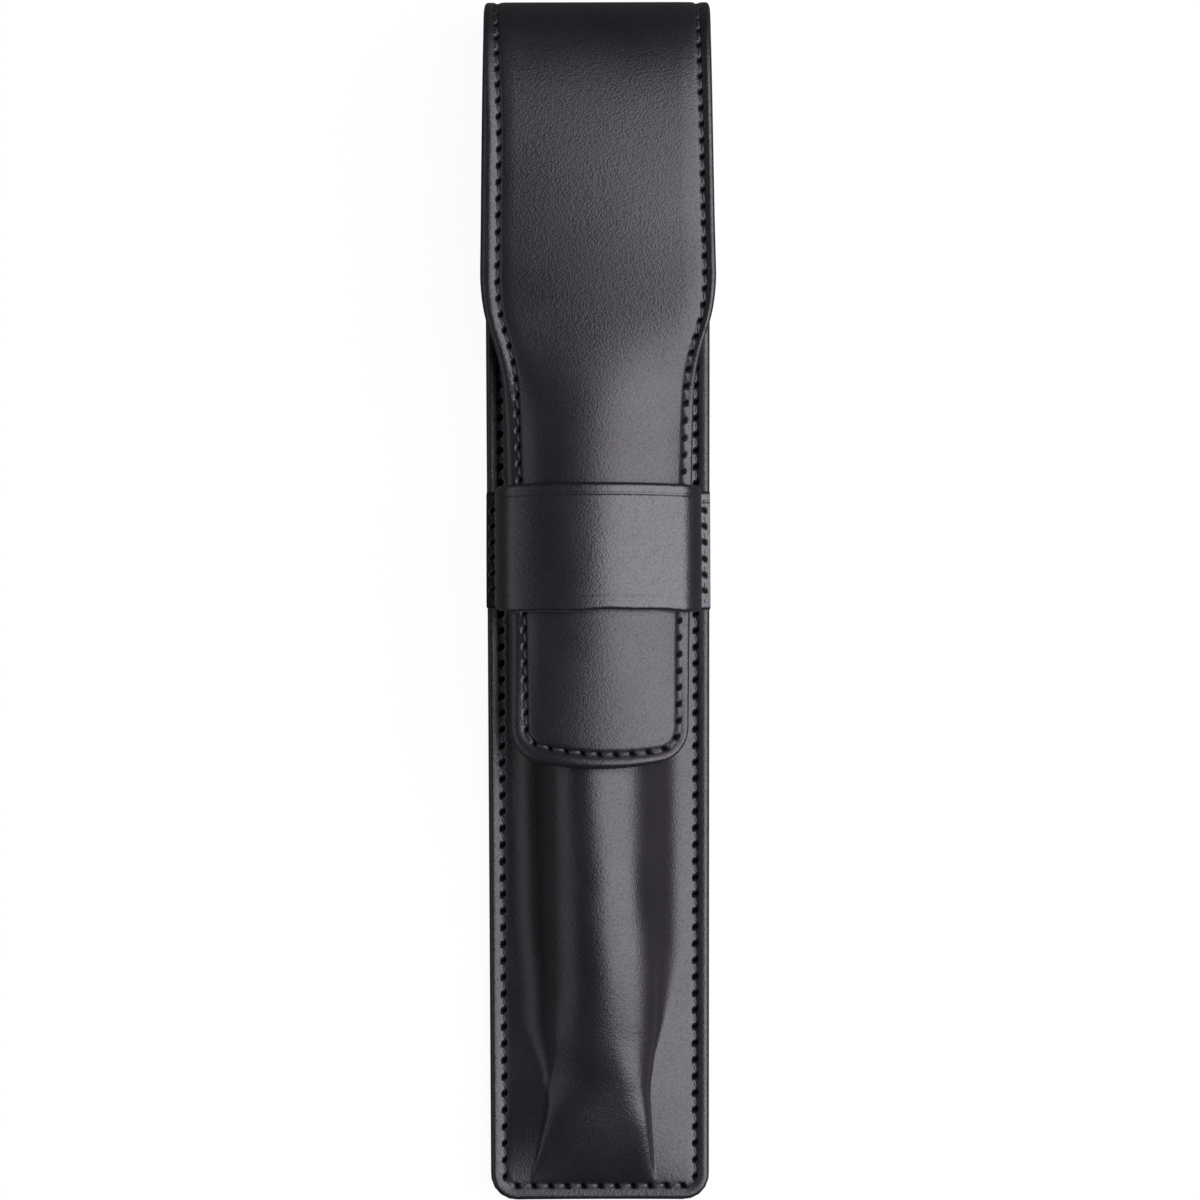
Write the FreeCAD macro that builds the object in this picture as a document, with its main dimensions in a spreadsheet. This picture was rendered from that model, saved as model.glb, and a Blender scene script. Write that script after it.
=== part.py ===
# A leather sleeve for one pen, lying on its back with the moulded front upwards.
# X runs across the sleeve, Y up its length towards the top fold and Z up from the table.
# The origin is under the middle of the sleeve, on the face of its back.
import FreeCAD, Part
import math
import os

import Sketcher
from FreeCAD import Vector

# Driving dimensions, in millimetres and degrees.
# Every "height" is measured up the sleeve from its bottom edge, every "width" right across it.
SIZES = {
    # outline of the sleeve
    "sleeve_length": 160.0,
    "foot_width": 28.6,
    "fold_width": 30.2,
    "foot_corner": 3.2,
    # leather and lining
    "back_leather": 1.1,
    "front_leather": 1.1,
    "flap_leather": 1.1,
    "lining": 0.6,
    "front_lining": 0.4,
    "strap_leather": 0.6,
    "strap_lining": 0.3,
    "stiffener": 0.4,
    "stiffener_inset": 3.4,
    "stiffener_gap": 0.1,
    # the hump for the pen, at its mouth, its waist, its toe and its end
    "pen_room": 11.0,
    "toe_room": 6.6,
    "end_room": 0.9,
    "mouth_height": 122.0,
    "waist_height": 40.0,
    "toe_height": 19.0,
    "end_height": 2.7,
    "mouth_width": 24.4,
    "waist_width": 24.0,
    "toe_width": 13.2,
    "end_width": 16.4,
    "mouth_fillet": 4.3,
    "waist_fillet": 4.2,
    "toe_fillet": 0.5,
    "end_fillet": 1.5,
    "flank_share": 0.83,
    # the fold at the top
    "fold_radius": 5.5,
    "fold_rise": 2.0,
    # the flap and its tongue
    "flap_gap": 0.4,
    "flap_width": 31.3,
    "shoulder_height": 122.8,
    "shoulder_drop": 17.0,
    "shoulder_tilt": 20.0,
    "tongue_start": 25.4,
    "tongue_width": 24.0,
    "tongue_tilt": 38.0,
    "tip_height": 56.6,
    "tip_corner": 4.8,
    "tip_radius": 40.0,
    # the strap that holds the tongue
    "strap_height": 86.0,
    "strap_width": 16.2,
    "strap_gap": 0.3,
    "strap_corner": 1.2,
    "strap_lead": 2.0,
    "strap_overhang": 0.25,
    # thread
    "thread": 0.5,
    "thread_sink": 0.1,
    "stitch_pitch": 2.2,
    "stitch_length": 1.6,
    "seam_margin": 1.7,
    "flap_margin": 1.9,
    "strap_margin": 0.8,
    "mouth_margin": 2.0,
    # how far a cutting profile reaches past what it cuts
    "overcut": 1.0,
}

doc = FreeCAD.newDocument("PenSleeve")
sheet = doc.addObject("Spreadsheet::Sheet", "Sizes")
for row, (alias, number) in enumerate(SIZES.items(), start=1):
    sheet.set(f"A{row}", str(number))
    sheet.setAlias(f"A{row}", alias)
doc.recompute()

# Places and levels that several pieces share, as expressions of the driving dimensions
LINING_TOP = "(Sizes.back_leather + Sizes.lining)"
FRONT_SEAT = f"({LINING_TOP} + Sizes.front_lining)"
WING_TOP = f"({FRONT_SEAT} + Sizes.front_leather)"
FOLD_LINE = "(Sizes.sleeve_length - Sizes.fold_radius)"
FOLD_HEIGHT = "(2 * Sizes.fold_radius + Sizes.fold_rise)"
FLAP_SHEET = "(Sizes.lining + Sizes.flap_leather)"
FLAP_UNDER = f"({WING_TOP} + Sizes.pen_room + Sizes.flap_gap)"
TONGUE_BEND = "(Sizes.tongue_width / 2 / sin(Sizes.tongue_tilt))"
SHOULDER_BEND = "(Sizes.flap_width / 2 / sin(Sizes.shoulder_tilt))"
TONGUE_CENTRE = f"({FLAP_UNDER} - {TONGUE_BEND})"
STRAP_TOP = "(Sizes.strap_height + Sizes.strap_width / 2)"
STRAP_FOOT = "(Sizes.strap_height - Sizes.strap_width / 2)"
STRAP_ARCH = f"({TONGUE_BEND} + {FLAP_SHEET} + Sizes.strap_gap)"
NECK = "(Sizes.shoulder_height - Sizes.shoulder_drop)"
TONGUE_TAPER = "(Sizes.tongue_start - Sizes.tongue_width) / 2"
UNDER_STRAP = f"({STRAP_TOP} - Sizes.tip_height) / ({NECK} - Sizes.tip_height)"
STRAP_HALF = f"(Sizes.tongue_width / 2 + {TONGUE_TAPER} * {UNDER_STRAP} + Sizes.strap_gap)"


def value(expression):
    """The number that an expression of the driving dimensions gives."""
    return float(sheet.evalExpression(expression))


def edge_half(height):
    """Half the width of the sleeve at a height above its bottom edge."""
    widening = "(Sizes.fold_width - Sizes.foot_width) / 2"
    return f"(Sizes.foot_width / 2 + {widening} * {height} / {FOLD_LINE})"


# Profiles. A profile is a dictionary of points, each a pair of expressions, and a list of edges in order.
# An edge is (start, end) for a line, or (start, end, turn, radius) for an arc that turns "left" or "right".

def mirrored(points):
    """The points of a right-hand side with their mirror images on the left."""
    both = dict(points)
    for name, (across, along) in points.items():
        both[name + "_left"] = (f"-({across})", along)
    return both


def mirrored_edges(right):
    """The mirror image, down the left, of a chain of edges up the right-hand side."""
    left = []
    for start, end, *arc in reversed(right):
        left.append((end + "_left", start + "_left", *arc))
    return left


def curve(points, edge):
    """The line or arc of one edge, at its present size."""
    start, end = (Vector(value(points[name][0]), value(points[name][1]), 0) for name in edge[:2])
    if len(edge) == 2:
        return Part.LineSegment(start, end)
    turn, radius = edge[2], value(edge[3])
    chord = end - start
    side = 1 if turn == "left" else -1
    reach = math.sqrt(radius ** 2 - (chord.Length / 2) ** 2)
    centre = (start + end) * 0.5 + Vector(-chord.y, chord.x, 0).normalize() * side * reach
    first, last = (start, end) if turn == "left" else (end, start)
    angles = [math.atan2(point.y - centre.y, point.x - centre.x) for point in (first, last)]
    return Part.ArcOfCircle(Part.Circle(centre, Vector(0, 0, 1), radius), *angles)


def draw(body, name, plane, station, points, edges):
    """A closed sketch on one of the body's planes, every point and radius bound to the sheet."""
    sketch = body.newObject("Sketcher::SketchObject", name)
    support = next(feature for feature in body.Origin.OriginFeatures if feature.Role == plane)
    sketch.AttachmentSupport = [(support, "")]
    sketch.MapMode = "FlatFace"
    sketch.setExpression(".AttachmentOffset.Base.z", station)
    add_loop(sketch, points, edges)
    return sketch


def add_loop(sketch, points, edges):
    """Adds one closed loop of edges to a sketch."""
    ends = []
    for edge in edges:
        number = sketch.addGeometry(curve(points, edge), False)
        backwards = len(edge) > 2 and edge[2] == "right"
        ends.append((number, 2, 1) if backwards else (number, 1, 2))
    for place, edge in enumerate(edges):
        number, first, last = ends[place]
        before, before_first, before_last = ends[place - 1]
        sketch.addConstraint(Sketcher.Constraint("Coincident", before, before_last, number, first))
        for kind, expression in zip(("DistanceX", "DistanceY"), points[edge[0]]):
            if value(expression) == 0:
                axis = -2 if kind == "DistanceX" else -1
                sketch.addConstraint(Sketcher.Constraint("PointOnObject", number, first, axis))
                continue
            bind(sketch, f"{edge[0]}_{kind}", expression, kind, -1, 1, number, first)
        if len(edge) > 2:
            bind(sketch, f"{edge[0]}_Radius", edge[3], "Radius", number)


def bind(sketch, name, expression, kind, *what):
    """Adds a dimension to a sketch and binds it to the sheet."""
    constraint = Sketcher.Constraint(kind, *what, value(expression))
    constraint.Name = name
    sketch.addConstraint(constraint)
    sketch.setExpression(f"Constraints.{name}", expression)


def new_body(label, level="0"):
    """A body whose own origin is on the bottom edge of the sleeve, at a level above the table."""
    body = doc.addObject("PartDesign::Body", label)
    body.Label = label
    body.setExpression(".Placement.Base.y", "-Sizes.sleeve_length / 2")
    body.setExpression(".Placement.Base.z", level)
    return body


def pad(body, sketch, length, both_ways=False):
    """Pads a sketch, along its normal or half each way."""
    feature = body.newObject("PartDesign::Pad", body.Name + "_pad")
    feature.Profile = sketch
    feature.setExpression("Length", length)
    if both_ways:
        feature.SideType = "Symmetric"
    return feature


def loft(body, kind, sketches):
    """A loft straight from section to section."""
    feature = body.newObject(f"PartDesign::{kind}Loft", f"{body.Name}_{kind}")
    feature.Profile = sketches[0]
    feature.Sections = sketches[1:]
    feature.Ruled = True
    return feature


# Outline of the sleeve: straight sides that widen a little towards the fold, and round corners at the foot

def sleeve_outline(margin, top):
    """The sleeve's outline up to a height, drawn in from the edge by a margin."""
    points = mirrored({
        "low": ("Sizes.foot_width / 2 - Sizes.foot_corner", margin),
        "corner": (f"Sizes.foot_width / 2 - {margin}", "Sizes.foot_corner"),
        "top": (f"{edge_half(top)} - {margin}", top),
    })
    right = [("low", "corner", "left", f"Sizes.foot_corner - {margin}"), ("corner", "top")]
    return points, right


def sleeve_sheet(body, name, top, thickness):
    """A flat sheet cut to the sleeve's outline."""
    points, right = sleeve_outline("0", top)
    edges = [("low_left", "low"), *right, ("top", "top_left"), *mirrored_edges(right)]
    return pad(body, draw(body, name, "XY_Plane", "0", points, edges), thickness)


def stiffener_outline(gap):
    """The board in the back: a long rectangle that stays clear of the seam."""
    half = f"Sizes.foot_width / 2 - Sizes.stiffener_inset + {gap}"
    points = mirrored({
        "low": (half, f"Sizes.stiffener_inset - {gap}"),
        "high": (half, f"{FOLD_LINE} - Sizes.stiffener_inset + {gap}"),
    })
    return points, [("low_left", "low"), ("low", "high"), ("high", "high_left"), ("high_left", "low_left")]


# Back: outer leather with a skived recess for the board, the board and the lining over both

back_panel = new_body("back_panel")
sleeve_sheet(back_panel, "back_outline", FOLD_LINE, "Sizes.back_leather")
recess = back_panel.newObject("PartDesign::Pocket", "back_recess")
recess.Profile = draw(back_panel, "recess_outline", "XY_Plane", "Sizes.back_leather",
                      *stiffener_outline("Sizes.stiffener_gap"))
recess.setExpression("Length", "Sizes.stiffener")

back_stiffener = new_body("back_stiffener", "Sizes.back_leather - Sizes.stiffener")
pad(back_stiffener, draw(back_stiffener, "board_outline", "XY_Plane", "0", *stiffener_outline("0")),
    "Sizes.stiffener")

back_lining = new_body("back_lining", "Sizes.back_leather")
sleeve_sheet(back_lining, "back_lining_outline", FOLD_LINE, "Sizes.lining")


# Front: a sheet moulded to a hump. Across, the hump is a round crown, two straight flanks and two hollow
# fillets that run out into the flat wings. Towards the foot it narrows and slopes down to the seam.

def hump_section(body, name, station, room, height, wing, inset, drop):
    """One cross-section of the hump, drawn in from its outer face by an inset."""
    half = f"Sizes.{station}_width / 2"
    tilt = f"(2 * atan({room} / ({half})) * Sizes.flank_share)"
    fillet = f"(Sizes.{station}_fillet + {inset})"
    both_radii = f"(({half} - {room} / tan({tilt})) / tan({tilt} / 2))"
    crown = f"({both_radii} - {fillet})"
    points = mirrored({
        "base": (half, f"{wing} - {drop}"),
        "foot": (half, wing),
        "flank_low": (f"{half} - {fillet} * sin({tilt})", f"{wing} + {fillet} * (1 - cos({tilt}))"),
        "flank_high": (f"{crown} * sin({tilt})", f"{wing} + {room} - {crown} * (1 - cos({tilt}))"),
    })
    right = [("base", "foot"), ("foot", "flank_low", "right", fillet), ("flank_low", "flank_high")]
    crown_edge = ("flank_high", "flank_high_left", "left", crown)
    edges = [("base_left", "base"), *right, crown_edge, *mirrored_edges(right)]
    return draw(body, name, "XZ_Plane", f"-({height})", points, edges)


HUMP_STATIONS = [
    ("end", "Sizes.end_room", "Sizes.end_height"),
    ("toe", "Sizes.toe_room", "Sizes.toe_height"),
    ("waist", "Sizes.pen_room", "Sizes.waist_height"),
    ("mouth", "Sizes.pen_room", "Sizes.mouth_height"),
]


def moulded_sheet(label, seat, thickness, inset):
    """A sheet with wings and a hump, its outer face drawn in from the front leather's by an inset."""
    body = new_body(label, seat)
    sleeve_sheet(body, label + "_outline", "Sizes.mouth_height", thickness)
    outer = []
    for station, room, height in HUMP_STATIONS:
        outer.append(hump_section(body, f"{label}_{station}_outer", station, room, height,
                                  thickness, inset, f"{thickness} / 2"))
    loft(body, "Additive", outer)
    inner = []
    cut_stations = [*HUMP_STATIONS, ("mouth", "Sizes.pen_room", "Sizes.mouth_height + Sizes.overcut")]
    for number, (station, room, height) in enumerate(cut_stations):
        inner.append(hump_section(body, f"{label}_{number}_inner", station, room, height,
                                  "0", f"({inset} + {thickness})", "Sizes.overcut"))
    loft(body, "Subtractive", inner)
    return body


front_panel = moulded_sheet("front_panel", FRONT_SEAT, "Sizes.front_leather", "0")
front_lining = moulded_sheet("front_lining", LINING_TOP, "Sizes.front_lining", "Sizes.front_leather")


# Strap: a band over the tongue with upright legs. Its lining stops at the legs, its leather turns out into
# two flat feet that are sewn down on the wings.

def strap_side(name, depth):
    """Points up the right-hand side of one face of the strap, a depth out from the face of its lining."""
    corner_x = f"({STRAP_HALF} - Sizes.strap_corner)"
    to_corner = f"({STRAP_ARCH} - Sizes.strap_corner)"
    corner_rise = f"sqrt({to_corner} ^ 2 - {corner_x} ^ 2)"
    radius = f"(Sizes.strap_corner + {depth})"
    return {
        f"{name}_foot": (f"{STRAP_HALF} + {depth}", WING_TOP),
        f"{name}_leg": (f"{STRAP_HALF} + {depth}", f"{TONGUE_CENTRE} + {corner_rise}"),
        f"{name}_arch": (f"{corner_x} * (1 + {radius} / {to_corner})",
                         f"{TONGUE_CENTRE} + {corner_rise} * (1 + {radius} / {to_corner})"),
    }


def strap_layer(label, inner_depth, outer_depth, with_feet):
    """One layer of the strap between two depths."""
    points = strap_side("inner", inner_depth)
    points.update(strap_side("outer", outer_depth))
    start = "outer_foot"
    right = []
    if with_feet:
        foot_edge = f"{edge_half('Sizes.strap_height')} + Sizes.strap_overhang"
        foot_top = f"{WING_TOP} + ({outer_depth} - {inner_depth})"
        points["sole"] = (foot_edge, WING_TOP)
        points["sole_top"] = (foot_edge, foot_top)
        points["outer_foot"] = (points["outer_foot"][0], foot_top)
        start = "sole"
        right = [("sole", "sole_top"), ("sole_top", "outer_foot")]
    right += [("outer_foot", "outer_leg"),
              ("outer_leg", "outer_arch", "left", f"Sizes.strap_corner + {outer_depth}")]
    inner_left = [("inner_foot_left", "inner_leg_left"),
                  ("inner_leg_left", "inner_arch_left", "right", f"Sizes.strap_corner + {inner_depth}")]
    inner_right = [("inner_arch", "inner_leg", "right", f"Sizes.strap_corner + {inner_depth}"),
                   ("inner_leg", "inner_foot")]
    edges = [*right, ("outer_arch", "outer_arch_left", "left", f"{STRAP_ARCH} + {outer_depth}"),
             *mirrored_edges(right), (start + "_left", "inner_foot_left"), *inner_left,
             ("inner_arch_left", "inner_arch", "right", f"{STRAP_ARCH} + {inner_depth}"),
             *inner_right, ("inner_foot", start)]
    body = new_body(label)
    sketch = draw(body, label + "_profile", "XZ_Plane", f"-{STRAP_TOP}", mirrored(points), edges)
    pad(body, sketch, "Sizes.strap_width")
    return body


strap = strap_layer("strap", "Sizes.strap_lining", "(Sizes.strap_lining + Sizes.strap_leather)", True)
strap_lining = strap_layer("strap_lining", "0", "Sizes.strap_lining", False)


# Flap outline: straight sides, two shoulders that swing in to the tongue and a round-cornered, bowed tip

def flap_outline(margin):
    """The flap's outline, drawn in from the edge by a margin, as points and as the edges up its right."""
    widest = f"(Sizes.flap_width / 2 - {margin})"
    narrow = f"(Sizes.tongue_start / 2 - {margin})"
    side = f"(Sizes.tongue_width / 2 - {margin})"
    corner = f"(Sizes.tip_corner - {margin})"
    bow = f"(Sizes.tip_radius - {margin})"
    swing = f"({widest} - {narrow})"
    shoulder_radius = f"({swing} ^ 2 + Sizes.shoulder_drop ^ 2) / (4 * {swing})"
    bow_centre = "(Sizes.tip_height + Sizes.tip_radius)"
    fall = f"sqrt(({bow} - {corner}) ^ 2 - ({side} - {corner}) ^ 2)"
    stretch = f"({bow} / ({bow} - {corner}))"
    points = mirrored({
        "tip": (f"({side} - {corner}) * {stretch}", f"{bow_centre} - {fall} * {stretch}"),
        "tongue": (side, f"{bow_centre} - {fall}"),
        "neck": (narrow, NECK),
        "swing": (f"({widest} + {narrow}) / 2", "Sizes.shoulder_height - Sizes.shoulder_drop / 2"),
        "shoulder": (widest, "Sizes.shoulder_height"),
        "fold": (f"Sizes.fold_width / 2 - {margin}", FOLD_LINE),
    })
    right = [("tip", "tongue", "left", corner), ("tongue", "neck"),
             ("neck", "swing", "right", shoulder_radius),
             ("swing", "shoulder", "left", shoulder_radius), ("shoulder", "fold")]
    bottom = ("tip_left", "tip", "left", bow)
    return points, right, bottom


def flap_section(body, name, height, half, under, bend, inner_depth, outer_depth):
    """One cross-section of a flap layer: a piece of a ring, or a flat strip where there is no bend."""
    points = {}
    for face, depth in (("inner", inner_depth), ("outer", outer_depth)):
        level = f"{under} + {depth}"
        if bend:
            level = f"{under} - {bend} + sqrt(({bend} + {depth}) ^ 2 - ({half}) ^ 2)"
        points[face] = (half, level)
    inner_edge = ["inner_left", "inner"]
    outer_edge = ["outer", "outer_left"]
    if bend:
        inner_edge += ["right", f"{bend} + {inner_depth}"]
        outer_edge += ["left", f"{bend} + {outer_depth}"]
    edges = [tuple(inner_edge), ("inner", "outer"), tuple(outer_edge), ("outer_left", "inner_left")]
    return draw(body, name, "XZ_Plane", f"-({height})", mirrored(points), edges)


def flap_layer(label, inner_depth, outer_depth):
    """One layer of the flap: lofted from the flat fold to the arched tongue, then cut to the outline."""
    body = new_body(label)
    fold_half = "Sizes.flap_width / 2 + Sizes.overcut"
    tongue_half = "Sizes.tongue_start / 2 + Sizes.overcut"
    fold_under = f"({FOLD_HEIGHT} - {FLAP_SHEET})"
    stations = [
        ("fold", FOLD_LINE, fold_half, fold_under, None),
        ("mouth", "Sizes.mouth_height", fold_half, FLAP_UNDER, SHOULDER_BEND),
        ("tongue", f"{STRAP_TOP} + Sizes.strap_lead", tongue_half, FLAP_UNDER, TONGUE_BEND),
        ("tip", "Sizes.tip_height - Sizes.overcut", tongue_half, FLAP_UNDER, TONGUE_BEND),
    ]
    sections = []
    for station, height, half, under, bend in stations:
        sections.append(flap_section(body, f"{label}_{station}", height, half, under, bend,
                                     inner_depth, outer_depth))
    loft(body, "Additive", sections)
    points, right, bottom = flap_outline("0")
    points.update(mirrored({
        "past_fold": ("Sizes.fold_width / 2", f"{FOLD_LINE} + Sizes.overcut"),
        "frame_low": ("Sizes.flap_width", "Sizes.tip_height - Sizes.flap_width"),
        "frame_high": ("Sizes.flap_width", f"{FOLD_LINE} + 2 * Sizes.overcut"),
    }))
    right = [*right, ("fold", "past_fold")]
    trim = draw(body, label + "_outline", "XY_Plane", "0", points,
                [bottom, *right, ("past_fold", "past_fold_left"), *mirrored_edges(right)])
    add_loop(trim, points, [("frame_low_left", "frame_low"), ("frame_low", "frame_high"),
                            ("frame_high", "frame_high_left"), ("frame_high_left", "frame_low_left")])
    cut = body.newObject("PartDesign::Pocket", label + "_cut")
    cut.Profile = trim
    cut.Type = "ThroughAll"
    cut.Reversed = True
    return body


flap_leather = flap_layer("flap_leather", "Sizes.lining", FLAP_SHEET)
flap_lining = flap_layer("flap_lining", "0", "Sizes.lining")

# Fold: leather and lining bent over the top in two quarter turns with a short straight between them

def fold_layer(label, outer_inset, inner_inset):
    """One layer of the fold between two depths under the outer face."""
    outer = f"(Sizes.fold_radius - {outer_inset})"
    inner = f"(Sizes.fold_radius - {inner_inset})"
    upper = "Sizes.fold_radius + Sizes.fold_rise"
    points = {
        "outer_start": (FOLD_LINE, outer_inset),
        "outer_low": (f"{FOLD_LINE} + {outer}", "Sizes.fold_radius"),
        "outer_high": (f"{FOLD_LINE} + {outer}", upper),
        "outer_end": (FOLD_LINE, f"{FOLD_HEIGHT} - {outer_inset}"),
        "inner_end": (FOLD_LINE, f"{FOLD_HEIGHT} - {inner_inset}"),
        "inner_high": (f"{FOLD_LINE} + {inner}", upper),
        "inner_low": (f"{FOLD_LINE} + {inner}", "Sizes.fold_radius"),
        "inner_start": (FOLD_LINE, inner_inset),
    }
    edges = [("outer_start", "outer_low", "left", outer), ("outer_low", "outer_high"),
             ("outer_high", "outer_end", "left", outer), ("outer_end", "inner_end"),
             ("inner_end", "inner_high", "right", inner), ("inner_high", "inner_low"),
             ("inner_low", "inner_start", "right", inner), ("inner_start", "outer_start")]
    body = new_body(label)
    pad(body, draw(body, label + "_profile", "YZ_Plane", "0", points, edges), "Sizes.fold_width", True)
    return body


fold_leather = fold_layer("fold_leather", "0", "Sizes.back_leather")
fold_lining = fold_layer("fold_lining", "Sizes.back_leather", LINING_TOP)
doc.recompute()

# Stitches: short round threads half sunk in the leather, spaced evenly along each seam

PITCH = value("Sizes.stitch_pitch")
SINK = value("Sizes.thread_sink")
GAP_SHARE = (1 - value("Sizes.stitch_length") / PITCH) / 2


def wire(points, edges):
    """The path of a seam as a wire, at its present size."""
    return Part.Wire([curve(points, edge).toShape() for edge in edges])


def stitch_ends(path):
    """Start and end of every stitch along a path."""
    count = max(1, round(path.Length / PITCH))
    marks = path.discretize(Number=count + 1)
    return [(a + (b - a) * GAP_SHARE, b - (b - a) * GAP_SHARE) for a, b in zip(marks, marks[1:])]


def thread_solid(start, end):
    """One stitch, a short round thread."""
    return Part.makeCylinder(value("Sizes.thread") / 2, (end - start).Length, start, end - start)


def stitch_group(label, ends):
    """All the stitches of one seam as a group of solids."""
    group = doc.addObject("Part::Feature", label)
    group.Label = label
    group.Shape = Part.makeCompound([thread_solid(start, end) for start, end in ends])
    group.Placement = FreeCAD.Placement(Vector(0, -value("Sizes.sleeve_length") / 2, 0), FreeCAD.Rotation())
    return group


def at_level(ends, level):
    """Stitches of a flat seam moved to a level above the table."""
    lift = Vector(0, 0, level)
    return [(start + lift, end + lift) for start, end in ends]


# Edge seam: down one side, round the foot and up the other. Past the mouth it goes on in the back alone.
seam_points, seam_right = sleeve_outline("Sizes.seam_margin", "Sizes.mouth_height")
seam_path = wire(seam_points, [*mirrored_edges(seam_right), ("low_left", "low"), *seam_right])
low_stitches = stitch_ends(seam_path)
upper_points = mirrored({
    "mouth": (f"{edge_half('Sizes.mouth_height')} - Sizes.seam_margin", "Sizes.mouth_height"),
    "fold": (f"{edge_half(FOLD_LINE)} - Sizes.seam_margin", FOLD_LINE),
})
high_stitches = []
for side in ("", "_left"):
    high_stitches += stitch_ends(wire(upper_points, [("mouth" + side, "fold" + side)]))

strap_low, strap_high = value(STRAP_FOOT), value(STRAP_TOP)
clear_of_strap = []
for start, end in low_stitches:
    if max(start.y, end.y) < strap_low or min(start.y, end.y) > strap_high:
        clear_of_strap.append((start, end))
wing_level = value(WING_TOP) - SINK
seam_stitches_front = stitch_group(
    "seam_stitches_front",
    at_level(clear_of_strap, wing_level) + at_level(high_stitches, value(LINING_TOP) - SINK))
seam_stitches_back = stitch_group(
    "seam_stitches_back", at_level(low_stitches + high_stitches, value("Sizes.thread") / 2))

# Strap seam: the feet of the strap are sewn down nearer the edge
strap_points = mirrored({
    "low": (f"{edge_half('Sizes.strap_height')} - Sizes.strap_margin", STRAP_FOOT),
    "high": (f"{edge_half('Sizes.strap_height')} - Sizes.strap_margin", STRAP_TOP),
})
strap_ends = []
for side in ("", "_left"):
    strap_ends += stitch_ends(wire(strap_points, [("low" + side, "high" + side)]))
strap_stitches = stitch_group(
    "strap_stitches", at_level(strap_ends, value(f"{WING_TOP} + Sizes.strap_leather") - SINK))

# Mouth seam: across the front just under the mouth, up and over the hump
mouth_outline = doc.getObject("front_panel_mouth_outer").Shape.Edges
mouth_row = Part.Wire(Part.__sortEdges__(mouth_outline[2:7]))
mouth_row.translate(Vector(0, -value("Sizes.mouth_margin"), value(FRONT_SEAT) - SINK))
mouth_stitches = stitch_group("mouth_stitches", stitch_ends(mouth_row))


# Flap seam: along both sides, round the shoulders and the tongue, on the leather and on the lining

def onto(body, upwards):
    """A function that drops a point straight onto the upper or lower face of a body."""
    shape = body.Shape.copy()
    shape.Placement = FreeCAD.Placement()
    lying = [face for face in shape.Faces if abs(face.normalAt(*middle(face)).z) > 0.1]

    def dropped(point):
        upright = Part.Line(point, point + Vector(0, 0, 1))
        levels = []
        for face in lying:
            box = face.BoundBox
            if box.YMin <= point.y <= box.YMax:
                crossings = upright.intersectCS(face.Surface)[0]
                levels += [crossing.Z for crossing in crossings if box.ZMin <= crossing.Z <= box.ZMax]
        level = max(levels) - SINK if upwards else min(levels) + SINK
        return Vector(point.x, point.y, level)

    return dropped


def middle(face):
    """The middle of a face in its own two parameters."""
    first, last, low, high = face.ParameterRange
    return (first + last) / 2, (low + high) / 2


flap_points, flap_right, flap_bottom = flap_outline("Sizes.flap_margin")
flap_path = wire(flap_points, [*mirrored_edges(flap_right), flap_bottom, *flap_right])
flap_ends = stitch_ends(flap_path)
for label, body, upwards in (("flap_stitches_front", flap_leather, True),
                             ("flap_stitches_inside", flap_lining, False)):
    drop = onto(body, upwards)
    stitch_group(label, [(drop(start), drop(end)) for start, end in flap_ends])


# Fold seam: over the fold along both sides, on the leather and on the lining

def fold_row(depth):
    """The path of one row over the fold, a depth under its outer face, in a plane across X."""
    radius = f"(Sizes.fold_radius - {depth})"
    upper = "Sizes.fold_radius + Sizes.fold_rise"
    points = {
        "start": (FOLD_LINE, depth),
        "low": (f"{FOLD_LINE} + {radius}", "Sizes.fold_radius"),
        "high": (f"{FOLD_LINE} + {radius}", upper),
        "end": (FOLD_LINE, f"{FOLD_HEIGHT} - {depth}"),
    }
    lower_bend = ("start", "low", "left", radius)
    upper_bend = ("high", "end", "left", radius)
    return wire(points, [lower_bend, ("low", "high"), upper_bend])


fold_ends = []
fold_half = value("Sizes.fold_width / 2 - Sizes.flap_margin")
for depth in ("(Sizes.thread / 2)", f"({LINING_TOP} - Sizes.thread_sink)"):
    for start, end in stitch_ends(fold_row(depth)):
        for side in (fold_half, -fold_half):
            fold_ends.append((Vector(side, start.x, start.y), Vector(side, end.x, end.y)))
fold_stitches = stitch_group("fold_stitches", fold_ends)
doc.recompute()

# Every object must have come out whole before anything is written
for obj in doc.Objects:
    if "Invalid" in obj.State or "Error" in obj.State:
        raise RuntimeError(f"{obj.Label} did not recompute")

pieces = [obj for obj in doc.Objects if obj.TypeId in ("PartDesign::Body", "Part::Feature")]
for piece in pieces:
    if piece.Shape.isNull() or not piece.Shape.isValid():
        raise RuntimeError(f"{piece.Label} has no valid shape")

os.makedirs("parts", exist_ok=True)
for piece in pieces:
    piece.Shape.exportStep(f"parts/{piece.Label}.step")
    box = piece.Shape.optimalBoundingBox(False)
    print(f"{piece.Label}: {len(piece.Shape.Solids)} solids, {piece.Shape.Volume:.1f} mm3, "
          f"x {box.XMin:.2f} {box.XMax:.2f}, y {box.YMin:.2f} {box.YMax:.2f}, "
          f"z {box.ZMin:.2f} {box.ZMax:.2f}")
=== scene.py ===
import math

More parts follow.
